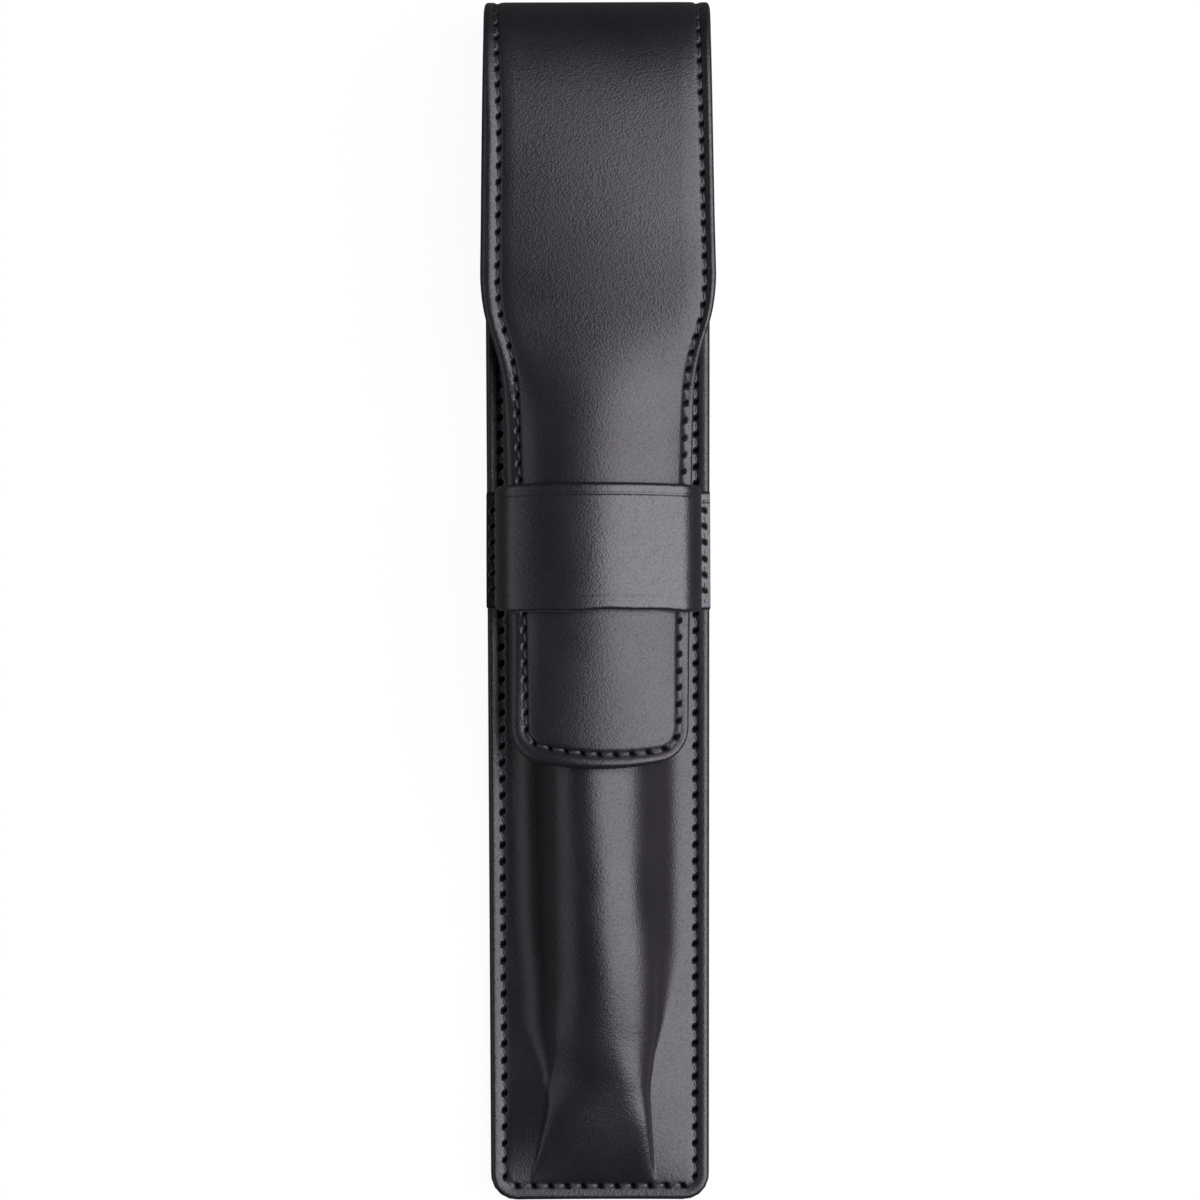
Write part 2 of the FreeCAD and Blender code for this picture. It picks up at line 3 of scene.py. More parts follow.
import bmesh
import bpy
import numpy as np
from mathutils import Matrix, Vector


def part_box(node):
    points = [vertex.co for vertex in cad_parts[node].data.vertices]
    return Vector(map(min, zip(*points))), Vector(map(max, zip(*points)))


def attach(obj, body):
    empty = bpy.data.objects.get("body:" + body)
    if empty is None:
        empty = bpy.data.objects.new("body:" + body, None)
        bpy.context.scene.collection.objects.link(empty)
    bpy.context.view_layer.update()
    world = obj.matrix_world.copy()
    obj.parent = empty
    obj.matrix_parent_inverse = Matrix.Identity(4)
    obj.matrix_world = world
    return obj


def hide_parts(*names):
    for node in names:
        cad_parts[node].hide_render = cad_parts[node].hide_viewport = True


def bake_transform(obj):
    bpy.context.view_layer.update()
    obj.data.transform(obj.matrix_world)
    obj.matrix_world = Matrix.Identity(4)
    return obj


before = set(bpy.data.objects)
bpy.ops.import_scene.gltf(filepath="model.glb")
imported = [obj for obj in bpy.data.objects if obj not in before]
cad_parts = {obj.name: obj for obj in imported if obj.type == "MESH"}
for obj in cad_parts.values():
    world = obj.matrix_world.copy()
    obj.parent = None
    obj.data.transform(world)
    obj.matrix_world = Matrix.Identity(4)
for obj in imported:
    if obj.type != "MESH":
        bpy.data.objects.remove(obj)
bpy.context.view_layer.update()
MM = 0.001


# Back leather: one long panel of smooth black calf that lies on the table. It runs from the foot up the back
# and half way over the top fold, where the flap goes on. Its edge is rounded and painted.

def millimetres(node):
    """Lowest and highest corner of a piece of the frame, in millimetres."""
    return [np.array(corner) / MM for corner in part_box(node)]


back_low, back_high = millimetres("back_panel")
FOOT_LINE = back_low[1]
FOLD_LINE = back_high[1]
FOLD_HALF = back_high[0]
BACK_LEATHER = back_high[2]
FOLD_RADIUS = millimetres("fold_leather")[1][1] - FOLD_LINE
SPINE_MIDDLE = 5.9
FOOT_HALF = 14.3
FOOT_CORNER = 3.2
STRAIGHT_BOW = 5000.0
SEAM_MARGIN = 1.7


def sleeve_half(y):
    """Half the width of the sleeve at a place along it."""
    share = (np.minimum(y, FOLD_LINE) - FOOT_LINE) / (FOLD_LINE - FOOT_LINE)
    return FOOT_HALF + (FOLD_HALF - FOOT_HALF) * share


def cut_edge(half_at, corner_y, corner_radius, bow, top):
    """The cut edge of a panel with a bowed end and two round corners, up to a top line.

    Gives a function of the way along the edge, from the middle of its end, and of an inset from it.
    """
    corner_x = half_at(corner_y) - corner_radius
    lean = math.asin(corner_x / (bow - corner_radius))
    sweep = math.pi / 2 - lean
    bow_centre = corner_y + (bow - corner_radius) * math.cos(lean)
    corner_start = bow * lean
    corner_end = corner_start + corner_radius * sweep

    def edge(way, inset):
        way, inset = np.broadcast_arrays(way, inset)
        step = np.abs(way)
        along_bow = np.minimum(step, corner_start) / bow
        turn = np.clip((step - corner_start) / corner_radius, 0, sweep) - sweep
        side_y = corner_y + np.maximum(step - corner_end, 0)
        parts = [step <= corner_start, step < corner_end]
        x = np.select(parts, [(bow - inset) * np.sin(along_bow),
                              corner_x + (corner_radius - inset) * np.cos(turn)],
                      half_at(side_y) - inset)
        y = np.select(parts, [bow_centre - (bow - inset) * np.cos(along_bow),
                              corner_y + (corner_radius - inset) * np.sin(turn)], side_y)
        return np.sign(way) * x, y

    edge.end = corner_end + top - corner_y
    edge.corner_middle = (corner_start + corner_end) / 2
    edge.reach = corner_radius
    return edge


# The seam that runs round every edge: its stitches, and how it is pressed into the leather
STITCH_PITCH = 2.2
STEPS_PER_STITCH = 12
LINING_STEPS = 4
HOLE_DEPTH = 0.6
HOLE_LENGTH = 0.3
HOLE_WIDTH = 0.28
HOLE_SLANT = 0.6
SEAM_PRESS = 0.08
SEAM_PRESS_REACH = 0.42
FINE_STEPS = 6000


def seam_steps(edge, margin, steps=STEPS_PER_STITCH):
    """Ways along an edge at even steps of the seam inside it, and the run of the seam at each."""
    halves = []
    for side in (-1, 1):
        ways = side * np.linspace(0, edge.end, FINE_STEPS)
        x, y = edge(ways, margin(ways))
        runs = np.append(0, np.cumsum(np.hypot(np.diff(x), np.diff(y))))
        step = STITCH_PITCH / steps
        count = round(runs[-1] / step)
        even = np.append(np.arange(count) * step, runs[-1])
        halves.append((np.interp(even, runs, ways), side * even))
    (left, left_runs), (right, right_runs) = halves
    return np.append(left[:0:-1], right), np.append(left_runs[:0:-1], right_runs)


def needle_holes(runs, off):
    """How far a point beside the seam is inside one of its slanted holes, from 0 to 1."""
    beside = runs - np.round(runs / STITCH_PITCH) * STITCH_PITCH + HOLE_SLANT * off
    return np.exp(-(beside / HOLE_LENGTH) ** 4 - (off / HOLE_WIDTH) ** 4)


def pressed_seam(off):
    """Depth of a seam that is only drawn down into the leather by its thread."""
    return SEAM_PRESS * np.exp(-(off / SEAM_PRESS_REACH) ** 2)


# The rings of points in a panel: insets and shares of the thickness over its rounded rim, the rings that the
# edge paint covers, places across the seam, and how far in and how close together the other points lie
RIM = np.array([(0.0, 1.0), (-0.04, 0.65), (0.02, 0.4), (0.12, 0.2), (0.26, 0.08), (0.42, 0.02), (0.6, 0.0)])
PAINTED_RINGS = 3
ACROSS_SEAM = np.array([-0.5, -0.4, -0.3, -0.2, -0.1, 0, 0.1, 0.2, 0.3, 0.42, 0.6, 0.9])
RING_STEP = 0.2
LAST_RING = 0.4
FACE_GRID = 0.2
UNDER_GRID = 0.7
DEEPEST_DIP = 0.8
FACE_ROWS_PER_STITCH = 6
UNDER_ROWS_PER_STITCH = 4
SHARP_EDGE = math.radians(65)


def face_rings(thickness, seam, reach):
    """Insets and depths of the rings of a panel: up its edge, over the rounded rim and in past the seam."""
    rim_end = RIM[-1, 0]
    flat = ACROSS_SEAM[0] - rim_end
    between = np.linspace(0, 1, 2 + max(1, int((seam.max() + flat) / RING_STEP)))[1:-1]
    insets = np.concatenate([RIM[:, :1] + 0 * seam, rim_end + between[:, None] * (seam + flat),
                             ACROSS_SEAM[:, None] + seam, [0 * seam + reach]])
    depths = np.zeros((len(insets), 1))
    depths[:len(RIM), 0] = RIM[:, 1] * thickness
    return insets, depths


def filled(x, y, left, foot, right):
    """Points that fill the space inside a ring, in rows from its foot to its top, ring included."""
    def shares(indices):
        lengths = np.hypot(np.diff(x[indices]), np.diff(y[indices]))
        return np.append(0, np.cumsum(lengths)) / lengths.sum()

    across = shares(foot)[None, :]
    up = shares(right)[:, None]
    rows = []
    for values in (x, y):
        foot_row, left_side, right_side = values[foot][None, :], values[left][:, None], values[right][:, None]
        top_row = left_side[-1] + (right_side[-1] - left_side[-1]) * across
        corners = ((1 - across) * (1 - up) * foot_row[0, 0] + across * (1 - up) * foot_row[0, -1]
                   + (1 - across) * up * left_side[-1] + across * up * right_side[-1])
        rows.append((1 - up) * foot_row + up * top_row
                    + (1 - across) * left_side + across * right_side - corners)
    return rows


def zipped(first, first_at, second, second_at):
    """Triangles between two rows of points, taken in the order of their places along the rows."""
    faces = []
    i = j = 0
    while i < len(first) - 1 or j < len(second) - 1:
        step_first = j == len(second) - 1 or (i < len(first) - 1 and first_at[i + 1] <= second_at[j + 1])
        if step_first:
            faces.append((first[i], first[i + 1], second[j]))
            i += 1
        else:
            faces.append((first[i], second[j + 1], second[j]))
            j += 1
    return [face for face in faces if len(set(face)) == 3]


def grid_faces(grid):
    """Quads between neighbouring rows of a grid of points."""
    corners = [grid[:-1, :-1], grid[:-1, 1:], grid[1:, 1:], grid[1:, :-1]]
    return np.stack(corners, axis=-1).reshape(-1, 4).tolist()


def in_scene(name, data):
    """A new object in the scene."""
    item = bpy.data.objects.new(name, data)
    bpy.context.scene.collection.objects.link(item)
    return item


def new_piece(name, points, faces, materials, painted, holes):
    """A closed piece at its place. Its last painted faces take the second material, for cut edges."""
    mesh = bpy.data.meshes.new(name)
    mesh.from_pydata((points * MM).tolist(), [], faces)
    for material in materials:
        mesh.materials.append(material)
    slots = np.zeros(len(faces), dtype=np.int32)
    slots[len(faces) - painted:] = 1
    mesh.polygons.foreach_set("material_index", slots)
    # Shares of the needle holes, which the leather reads to paint shade into them
    mesh.attributes.new("hole", "FLOAT", "POINT").data.foreach_set("value", holes.astype(np.float32))
    whole = bmesh.new()
    whole.from_mesh(mesh)
    bmesh.ops.recalc_face_normals(whole, faces=whole.faces)
    whole.to_mesh(mesh)
    whole.free()
    mesh.shade_smooth()
    mesh.set_sharp_from_angle(angle=SHARP_EDGE)
    return in_scene(name, mesh)


def sewn_panel(name, edge, margin, thickness, place, materials, dips=pressed_seam, spread=None,
               steps=STEPS_PER_STITCH):
    """A closed leather panel: cut edge, rounded rim, seam with its needle holes, and a plain inner face."""
    ways, runs = seam_steps(edge, margin, steps)
    seam = margin(ways)
    inset, depth = face_rings(thickness, seam, edge.reach - LAST_RING)
    x, y = edge(ways[None, :], inset)
    off = inset - seam
    holes = needle_holes(runs, off)
    on_face = depth < thickness
    strip = np.arange(x.size).reshape(x.shape)
    pressed = np.minimum(dips(off) + HOLE_DEPTH * holes, DEEPEST_DIP * thickness - depth)
    points = [place(x, y, depth + on_face * pressed)]

    count = len(ways)
    foot_end = int(np.argmin(np.abs(ways - edge.corner_middle)))
    foot_start = count - 1 - foot_end
    left = np.arange(foot_start, -1, -1)
    foot = np.arange(foot_start, foot_end + 1)
    right = np.arange(foot_end, count)

    def lining_up(ring, ring_inset, level, up_every, across_every):
        """A grid of points inside a ring of the strip, at every few of its steps, and the faces between."""
        start = sum(part[..., 0].size for part in points)
        rows = np.unique(np.append(np.arange(0, len(left), up_every), len(left) - 1))
        columns = np.unique(np.append(np.arange(0, len(foot), across_every), len(foot) - 1))
        grid_x, grid_y = (values[np.ix_(rows, columns)] for values in
                          filled(*edge(ways, ring_inset), left, foot, right))
        if spread is not None:
            grid_x = spread(grid_x, grid_y)
        points.append(place(grid_x, grid_y, 0 * grid_x + level))
        grid = start + np.arange(grid_x.size).reshape(grid_x.shape)
        loop = np.concatenate([grid[::-1, 0], grid[0, 1:-1], grid[:, -1]])
        loop_at = np.concatenate([left[rows][::-1], foot[columns][1:-1], right[rows]])
        return grid, grid_faces(grid) + zipped(ring, np.arange(count), loop, loop_at)

    face_every = max(steps // FACE_ROWS_PER_STITCH, 1)
    across_every = face_every if spread is None else 1
    under_every = steps // UNDER_ROWS_PER_STITCH
    face, face_faces = lining_up(strip[-1], edge.reach - FACE_GRID, 0.0, face_every, across_every)
    under, under_faces = lining_up(strip[0], UNDER_GRID, thickness, under_every, under_every)
    outer_top = np.concatenate([strip[:, 0], face[-1], strip[::-1, -1]])
    inner_top = np.concatenate([strip[:1, 0], under[-1], strip[:1, -1]])
    outer_at, inner_at = (np.linspace(0, 1, len(top)) for top in (outer_top, inner_top))
    end_wall = zipped(outer_top, outer_at, inner_top, inner_at)
    painted = grid_faces(strip[:PAINTED_RINGS + 1]) + end_wall
    faces = grid_faces(strip[PAINTED_RINGS:]) + face_faces + under_faces + painted
    points = np.concatenate([part.reshape(-1, 3) for part in points])
    marks = np.zeros(len(points))
    marks[:strip.size] = holes.reshape(-1)
    return new_piece(name, points, faces, materials, len(painted), marks)


def colour(code):
    """Linear colour of an sRGB hex code."""
    parts = [int(code[place:place + 2], 16) / 255 for place in (1, 3, 5)]
    return (*[part / 12.92 if part <= 0.04045 else ((part + 0.055) / 1.055) ** 2.4 for part in parts], 1.0)


def add(tree, kind, inputs=(), **settings):
    """A node with its settings. Each input is a value, or the output that feeds it."""
    node = tree.nodes.new(kind)
    for name, setting in settings.items():
        setattr(node, name, setting)
    for socket, source in dict(inputs).items():
        if isinstance(source, bpy.types.NodeSocket):
            tree.links.new(source, node.inputs[socket])
        else:
            node.inputs[socket].default_value = source
    return node


def new_material(name):
    """A material with no nodes, and its tree."""
    material = bpy.data.materials.new(name)
    material.use_nodes = True
    material.node_tree.nodes.clear()
    return material, material.node_tree


def place_on(tree):
    """The place on the piece, in its own coordinates."""
    return add(tree, "ShaderNodeTexCoord").outputs["Object"]


def noise(tree, size, detail):
    """Cloudy noise from 0 to 1, with clouds of a size in millimetres."""
    clouds = {"Vector": place_on(tree), "Scale": 1 / (size * MM), "Detail": detail}
    return add(tree, "ShaderNodeTexNoise", clouds).outputs["Fac"]


def mixed(tree, share, first, second):
    """A colour between two others."""
    return add(tree, "ShaderNodeMix", {0: share, 6: first, 7: second}, data_type="RGBA").outputs[2]


def ranged(tree, value, levels, results):
    """A value carried over from one range to another."""
    return add(tree, "ShaderNodeMapRange", {
        "Value": value, "From Min": levels[0], "From Max": levels[1],
        "To Min": results[0], "To Max": results[1]}).outputs[0]


def raised(tree, value, factor, base):
    """A value times a factor, on top of a base."""
    return add(tree, "ShaderNodeMath", {0: value, 1: factor, 2: base}, operation="MULTIPLY_ADD").outputs[0]


def bumped(tree, height, depth):
    """The surface's direction over a fine relief of a depth in millimetres."""
    return add(tree, "ShaderNodeBump", {"Height": height, "Distance": depth * MM}).outputs[0]


def surfaced(tree, inputs):
    """Ends a material with its surface."""
    shader = add(tree, "ShaderNodeBsdfPrincipled", inputs)
    add(tree, "ShaderNodeOutputMaterial", {"Surface": shader.outputs[0]})


# What all calf here has in common: its dye, the painted shade in its needle holes, and how its sheen and
# gloss vary over clouds and over the tops and valleys of the grain
CALF_BLACK = "#131114"
CALF_WORN = "#1b181c"
# Near-black painted into the needle holes as painted shade
PAINTED_HOLE_SHADE = "#020202"
HOLE_DULLNESS = 0.5
PORE_SHARE = 0.5
CLOUD_SIZE = 9.0
CLOUD_LEVELS = (0.3, 0.7)
CLOUD_SHEEN = (-0.03, 0.04)
GRAIN_LEVELS = (0.3, 1.2)
GRAIN_GLOSS = (1.15, 0.75)


def calf_leather(name, pebble, relief, roughness, gloss):
    """Box calf, dyed black and plated smooth: near-black under a soft sheen, with a fine pebble grain."""
    material, tree = new_material(name)
    cells = add(tree, "ShaderNodeTexVoronoi", {
        "Vector": place_on(tree), "Scale": 1 / (pebble * MM), "Smoothness": 0.3}, feature="SMOOTH_F1")
    grain = raised(tree, noise(tree, pebble / 2, 1.0), PORE_SHARE, cells.outputs["Distance"])
    clouds = noise(tree, CLOUD_SIZE, 3.0)
    hole = add(tree, "ShaderNodeAttribute", attribute_name="hole").outputs["Fac"]
    dye = mixed(tree, clouds, colour(CALF_BLACK), colour(CALF_WORN))
    sheen = ranged(tree, clouds, CLOUD_LEVELS, [roughness + change for change in CLOUD_SHEEN])
    worn = ranged(tree, grain, GRAIN_LEVELS, [gloss * share for share in GRAIN_GLOSS])
    # Painted shade: the needle holes take a near-black colour and no reflection, for the shade down inside
    # them
    surfaced(tree, {
        "Base Color": mixed(tree, hole, dye, colour(PAINTED_HOLE_SHADE)), "IOR": 1.5,
        "Roughness": raised(tree, hole, HOLE_DULLNESS, sheen), "Normal": bumped(tree, grain, relief),
        "Specular IOR Level": ranged(tree, hole, (0.0, 1.0), (worn, 0.0))})
    return material


def edge_paint():
    """Acrylic edge paint, brushed on in coats: a smooth black bead, a little duller than the leather."""
    material, tree = new_material("edge_paint")
    strokes = noise(tree, 0.8, 2.0)
    surfaced(tree, {
        "Base Color": colour("#141315"), "Roughness": ranged(tree, strokes, (0.0, 1.0), (0.38, 0.5)),
        "IOR": 1.48, "Normal": bumped(tree, strokes, 0.03)})
    return material


outer_calf = calf_leather("box_calf_leather", pebble=0.3, relief=0.022, roughness=0.36, gloss=0.55)
painted_edge = edge_paint()


def seam_margin(ways):
    """The seam stays the same distance from the edge all the way."""
    return 0 * ways + SEAM_MARGIN


def back_place(x, along, depth):
    """A point of the back: flat up to the fold line, round the lower bend, then up the spine."""
    turn = np.clip((along - FOLD_LINE) / FOLD_RADIUS, 0, math.pi / 2)
    rise = np.maximum(along - FOLD_LINE - FOLD_RADIUS * math.pi / 2, 0)
    reach = FOLD_RADIUS - depth
    y = np.minimum(along, FOLD_LINE) + reach * np.sin(turn)
    return np.stack([x, y, FOLD_RADIUS - reach * np.cos(turn) + rise], axis=-1)


BACK_TOP = FOLD_LINE + FOLD_RADIUS * math.pi / 2 + SPINE_MIDDLE - FOLD_RADIUS
back_edge = cut_edge(sleeve_half, FOOT_LINE + FOOT_CORNER, FOOT_CORNER, STRAIGHT_BOW, BACK_TOP)
back_leather = sewn_panel("back_leather", back_edge, seam_margin, BACK_LEATHER, back_place,
                          [outer_calf, painted_edge])
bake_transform(back_leather)
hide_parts("back_panel", "fold_leather")


# Board: a thin sheet of grey fibreboard that keeps the back flat. It lies glued in a skived recess between
# the back leather and its lining, so nothing of it shows.

def fibreboard():
    """Pressed fibreboard: matt grey-brown, with the short fibres of the pulp."""
    material, tree = new_material("fibreboard")
    tone = mixed(tree, noise(tree, 0.6, 6.0), colour("#857d72"), colour("#a59c8f"))
    surfaced(tree, {"Base Color": tone, "Roughness": 0.9, "IOR": 1.45})
    return material


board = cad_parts["back_stiffener"]
board.data.materials.clear()
board.data.materials.append(fibreboard())


# Back lining: thin black lining leather, flesh side out, glued to the back and sewn in with its edge. It goes
# over the fold with the back leather and is the pocket's rear wall.

def lining_leather():
    """Lining calf with a brushed face: matt black, with a short soft nap that takes the light in patches."""
    material, tree = new_material("napped_lining_leather")
    tone = mixed(tree, noise(tree, 6.0, 2.0), colour("#1c1b1c"), colour("#2b292a"))
    fuzz = bumped(tree, noise(tree, 0.35, 5.0), 0.06)
    surfaced(tree, {"Base Color": tone, "Roughness": 0.82, "IOR": 1.45, "Sheen Weight": 0.25,
                    "Sheen Roughness": 0.5, "Normal": fuzz})
    return material


lining_calf = lining_leather()
LINING = millimetres("back_lining")[1][2] - BACK_LEATHER
BACK_SHEET = BACK_LEATHER + LINING


def lined(place, sheet):
    """Places the points of a lining inside its leather, with depth counted from the lining's bare face."""
    return lambda x, along, depth: place(x, along, sheet - depth)


back_lining_place = lined(back_place, BACK_SHEET)
back_lining = sewn_panel("back_lining_leather", back_edge, seam_margin, LINING, back_lining_place,
                         [lining_calf, painted_edge], steps=LINING_STEPS)
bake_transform(back_lining)
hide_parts("back_lining", "fold_lining")


# Moulded front: calf wetted and pressed over a last the size of a pen, so that it keeps a tall hump between
# two narrow wings. The wings are sewn to the back; towards the foot the hump runs down into a creased toe.

front_low, front_high = millimetres("front_panel")
MOUTH_LINE = front_high[1]
WING_LEVEL = 3.2
FRONT_LEATHER = WING_LEVEL - front_low[2]
FRONT_RISE = front_high[2] - WING_LEVEL
TOE_LINE = FOOT_LINE + 2.0
WAIST_LINE = FOOT_LINE + 44.0
TOE_STEP = 1.4
TOE_STEP_REACH = 4.0
TOE_POWERS = (3.0, 6.0)
LEAST_ROOM = 1e-4
SWEEP_HALF = 12.3
SWEEP_RADIUS = 4.2
CREASE_RADIUS = 0.35
PLEAT_STEP = 1.0
PLEAT_PART = 3
PLEAT_WIDTH = 0.25
LEFT_TILT = math.radians(69)
RIGHT_TILTS = (math.radians(80), math.radians(60))
RIGHT_TILT_HEIGHTS = (18, 40)
TILT_LIMIT = 1.97
MARGIN_RISE = 0.25
WING_RUN_OUT = 20.0
WING_RUN_OUT_POWER = 1.6

# Heights above the foot line between which a value glides, and the values there
CROWN_HEIGHTS = (6, 15, 22, 40, 55)
CROWN_DRIFTS = (3.0, 2.8, 1.3, 0.3, -0.7)
WING_HEIGHTS = (14, 28)
WING_SLOPES = (0.48, 0.36)
WING_REACHES = (20.0, 4.0)
PILLOW_HEIGHTS = (9, 15)
LEFT_FOOT_HEIGHTS = (24, 40, 55)
LEFT_FEET = (11.0, 11.9, 12.2)

# On the left and on the right side: heights between which the flank sweeps out, its fillet widens and the
# pleat ends; and for each crease its distance at the foot, how fast it draws in upwards, and the least
SWEEP_HEIGHTS = ((11, 26), (13, 35))
FILLET_HEIGHTS = ((11, 26), (18, 34))
PLEAT_HEIGHTS = ((11, 17), (13, 19))
CREASES = ((9.7, 0.207, 5.7), (7.5, 0.057, 6.4))


def smooth(share):
    """A share held between 0 and 1, with soft ends."""
    share = np.clip(share, 0, 1)
    return share ** 2 * (3 - 2 * share)


def eased(y, heights, values):
    """A value that glides from station to station, each a height above the foot line."""
    stations = np.array(heights) + FOOT_LINE
    number = np.clip(np.searchsorted(stations, y) - 1, 0, len(stations) - 2)
    share = (y - stations[number]) / (stations[number + 1] - stations[number])
    values = np.array(values)
    return values[number] + (values[number + 1] - values[number]) * smooth(share)


def rising(y, left, heights):
    """A share that glides from 0 to 1 between two heights, which differ on the left and the right side."""
    return np.where(left, *(eased(y, side, (0, 1)) for side in heights))


def crown_drift(y):
    """How far to the right the crown of the hump lies: in the middle along the pen, aside at the toe."""
    return eased(y, CROWN_HEIGHTS, CROWN_DRIFTS)


def crease_half(left, y):
    """Distance from the middle to the crease in which the toe meets the wing on its left or right side."""
    height = y - FOOT_LINE
    return np.where(left, *(np.maximum(wide - taper * height, least) for wide, taper, least in CREASES))


def wing_rise(x, y, left):
    """Rise of the front from a side seam to the hump: short along the pen, a long slope beside the toe."""
    slope = eased(y, WING_HEIGHTS, WING_SLOPES)
    reach = eased(y, WING_HEIGHTS, WING_REACHES)
    widest = sleeve_half(y) - SEAM_MARGIN
    inside = np.clip(widest - np.abs(x), 0, widest - crease_half(left, y))
    above_seam = np.clip((y - FOOT_LINE - SEAM_MARGIN) / WING_RUN_OUT, 0, 1)
    from_foot = 1 - (1 - above_seam) ** WING_RUN_OUT_POWER
    return slope * reach * (1 - np.exp(-inside / reach)) * from_foot


def hump_room(y, left):
    """Height of the crown above the wing: a step behind the foot seam, then a long rise to the waist."""
    above = np.maximum(y - TOE_LINE, 0)
    climb = np.minimum(above / (WAIST_LINE - TOE_LINE), 1)
    step = TOE_STEP * (1 - np.exp(-above / TOE_STEP_REACH))
    rise = (FRONT_RISE - TOE_STEP) * (3 * climb - climb ** 3) / 2
    return np.maximum(step + rise - wing_rise(0, y, left), LEAST_ROOM)


def tunnel_level(out, room, half, fillet, tilt):
    """Height of a tunnel at a distance from its middle: a round crown, a straight flank, a hollow fillet."""
    crown = (half - room / np.tan(tilt)) / np.tan(tilt / 2) - fillet
    crown_end = crown * np.sin(tilt)
    flank_end = half - fillet * np.sin(tilt)
    on_crown = room - crown + np.sqrt(np.maximum(crown ** 2 - np.minimum(out, crown_end) ** 2, 0))
    on_flank = room - crown * (1 - np.cos(tilt)) - (out - crown_end) * np.tan(tilt)
    on_fillet = fillet - np.sqrt(fillet ** 2 - np.clip(half - out, 0, fillet) ** 2)
    return np.select([out < crown_end, out < flank_end], [on_crown, on_flank], on_fillet)


def hump_level(x, y, left):
    """Height of the hump above the wing: a creased pillow at the toe that grows into a tunnel for the pen."""
    room = hump_room(y, left)
    drift = crown_drift(y)
    crease = crease_half(left, y)
    out = np.abs(x - drift)
    aside = np.where(left, drift, -drift)
    pillow = room * (1 - np.clip(out / (crease + aside), 0, 1) ** np.where(left, *TOE_POWERS))
    foot = np.where(left, eased(y, LEFT_FOOT_HEIGHTS, LEFT_FEET), SWEEP_HALF)
    half = crease + (foot - crease) * rising(y, left, SWEEP_HEIGHTS) + aside
    fillet = CREASE_RADIUS + (SWEEP_RADIUS - CREASE_RADIUS) * rising(y, left, FILLET_HEIGHTS)
    steepest = np.where(left, LEFT_TILT, eased(y, RIGHT_TILT_HEIGHTS, RIGHT_TILTS))
    tilt = np.minimum(steepest, TILT_LIMIT * np.arctan(room / half))
    tunnel = tunnel_level(out, room, half, fillet, tilt)
    rounded = pillow + (tunnel - pillow) * eased(y, PILLOW_HEIGHTS, (0, 1))
    pleat = np.minimum(PLEAT_STEP, room / PLEAT_PART) * (1 - rising(y, left, PLEAT_HEIGHTS))
    edge = 1 - np.exp(-np.maximum(half - out, 0) / PLEAT_WIDTH)
    return rounded * (1 - pleat / room) + pleat * edge


def edge_distance(x, y):
    """Distance of a point of the front from the nearest cut edge of the sleeve, round corners included."""
    corner_y = FOOT_LINE + FOOT_CORNER
    corner_x = sleeve_half(corner_y) - FOOT_CORNER
    sides = np.minimum(sleeve_half(y) - np.abs(x), y - FOOT_LINE)
    round_corner = FOOT_CORNER - np.hypot(np.abs(x) - corner_x, y - corner_y)
    return np.where((np.abs(x) > corner_x) & (y < corner_y), round_corner, sides)


def front_level(x, y):
    """Height of the front's outer face: the margin and the wing both fall towards the seam."""
    past_seam = edge_distance(x, y) - SEAM_MARGIN
    margin = MARGIN_RISE * np.clip(-past_seam / SEAM_MARGIN, 0, 1)
    left = x < crown_drift(y)
    return WING_LEVEL + margin + wing_rise(x, y, left) + hump_level(x, y, left)


NUDGE = 0.02


def below(level, x, y, depth):
    """A point a depth under a surface given by its level, measured square to it."""
    slope_x = (level(x + NUDGE, y) - level(x - NUDGE, y)) / (2 * NUDGE)
    slope_y = (level(x, y + NUDGE) - level(x, y - NUDGE)) / (2 * NUDGE)
    length = np.sqrt(slope_x ** 2 + slope_y ** 2 + 1)
    inwards = np.stack([slope_x, slope_y, -np.ones_like(slope_x)], axis=-1) / length[..., None]
    return np.stack([x, y, level(x, y)], axis=-1) + inwards * np.asarray(depth)[..., None]


def front_place(x, y, depth):
    """A point of the moulded front, with depth counted from its outer face."""
    return below(front_level, x, y, np.broadcast_to(depth, x.shape))


BEND_WEIGHT = 1.6
BLEND_REACH = 3.6
FINE_COLUMNS = 900


def follow_hump(x, y):
    """Moves the points of each row so that they are even over the hump and close together at its bends."""
    moved = np.array(x)
    foot_y = y[0].mean()
    for number, (row_x, row_y) in enumerate(zip(x, y)):
        fine = np.linspace(row_x[0], row_x[-1], FINE_COLUMNS)
        level = front_level(fine, np.full_like(fine, row_y.mean()))
        slope = np.gradient(level, fine)
        bend = np.abs(np.gradient(np.arctan(slope)))
        weight = np.hypot(1, slope) * (fine[1] - fine[0]) + BEND_WEIGHT * bend
        share = np.append(0, np.cumsum(weight[1:])) / weight[1:].sum()
        even = np.interp((row_x - row_x[0]) / (row_x[-1] - row_x[0]), share, fine)
        moved[number] += (even - row_x) * min((row_y.mean() - foot_y) / BLEND_REACH, 1)
    return moved


front_edge = cut_edge(sleeve_half, FOOT_LINE + FOOT_CORNER, FOOT_CORNER, STRAIGHT_BOW, MOUTH_LINE)
moulded_front = sewn_panel("moulded_front", front_edge, seam_margin, FRONT_LEATHER, front_place,
                           [outer_calf, painted_edge], spread=follow_hump)
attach(moulded_front, "sleeve")
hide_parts("front_panel")


# Front lining: the same thin lining leather, glued inside the hump and sewn in between wings and back. Only
# its face shows, in the mouth of the pocket.

FRONT_LINING = front_low[2] - BACK_SHEET
front_lining_place = lined(front_place, FRONT_LEATHER + FRONT_LINING)
front_lining = sewn_panel("moulded_front_lining", front_edge, seam_margin, FRONT_LINING, front_lining_place,
                          [lining_calf, painted_edge], spread=follow_hump, steps=LINING_STEPS)
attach(front_lining, "sleeve")
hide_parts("front_lining")


# Flap and tongue: the upper half of the fold and the long flap, of the same smooth calf. It leaves the fold
# flat, arches over the hump and narrows to a round-cornered tongue. Its seam lies in a groove along a bead.

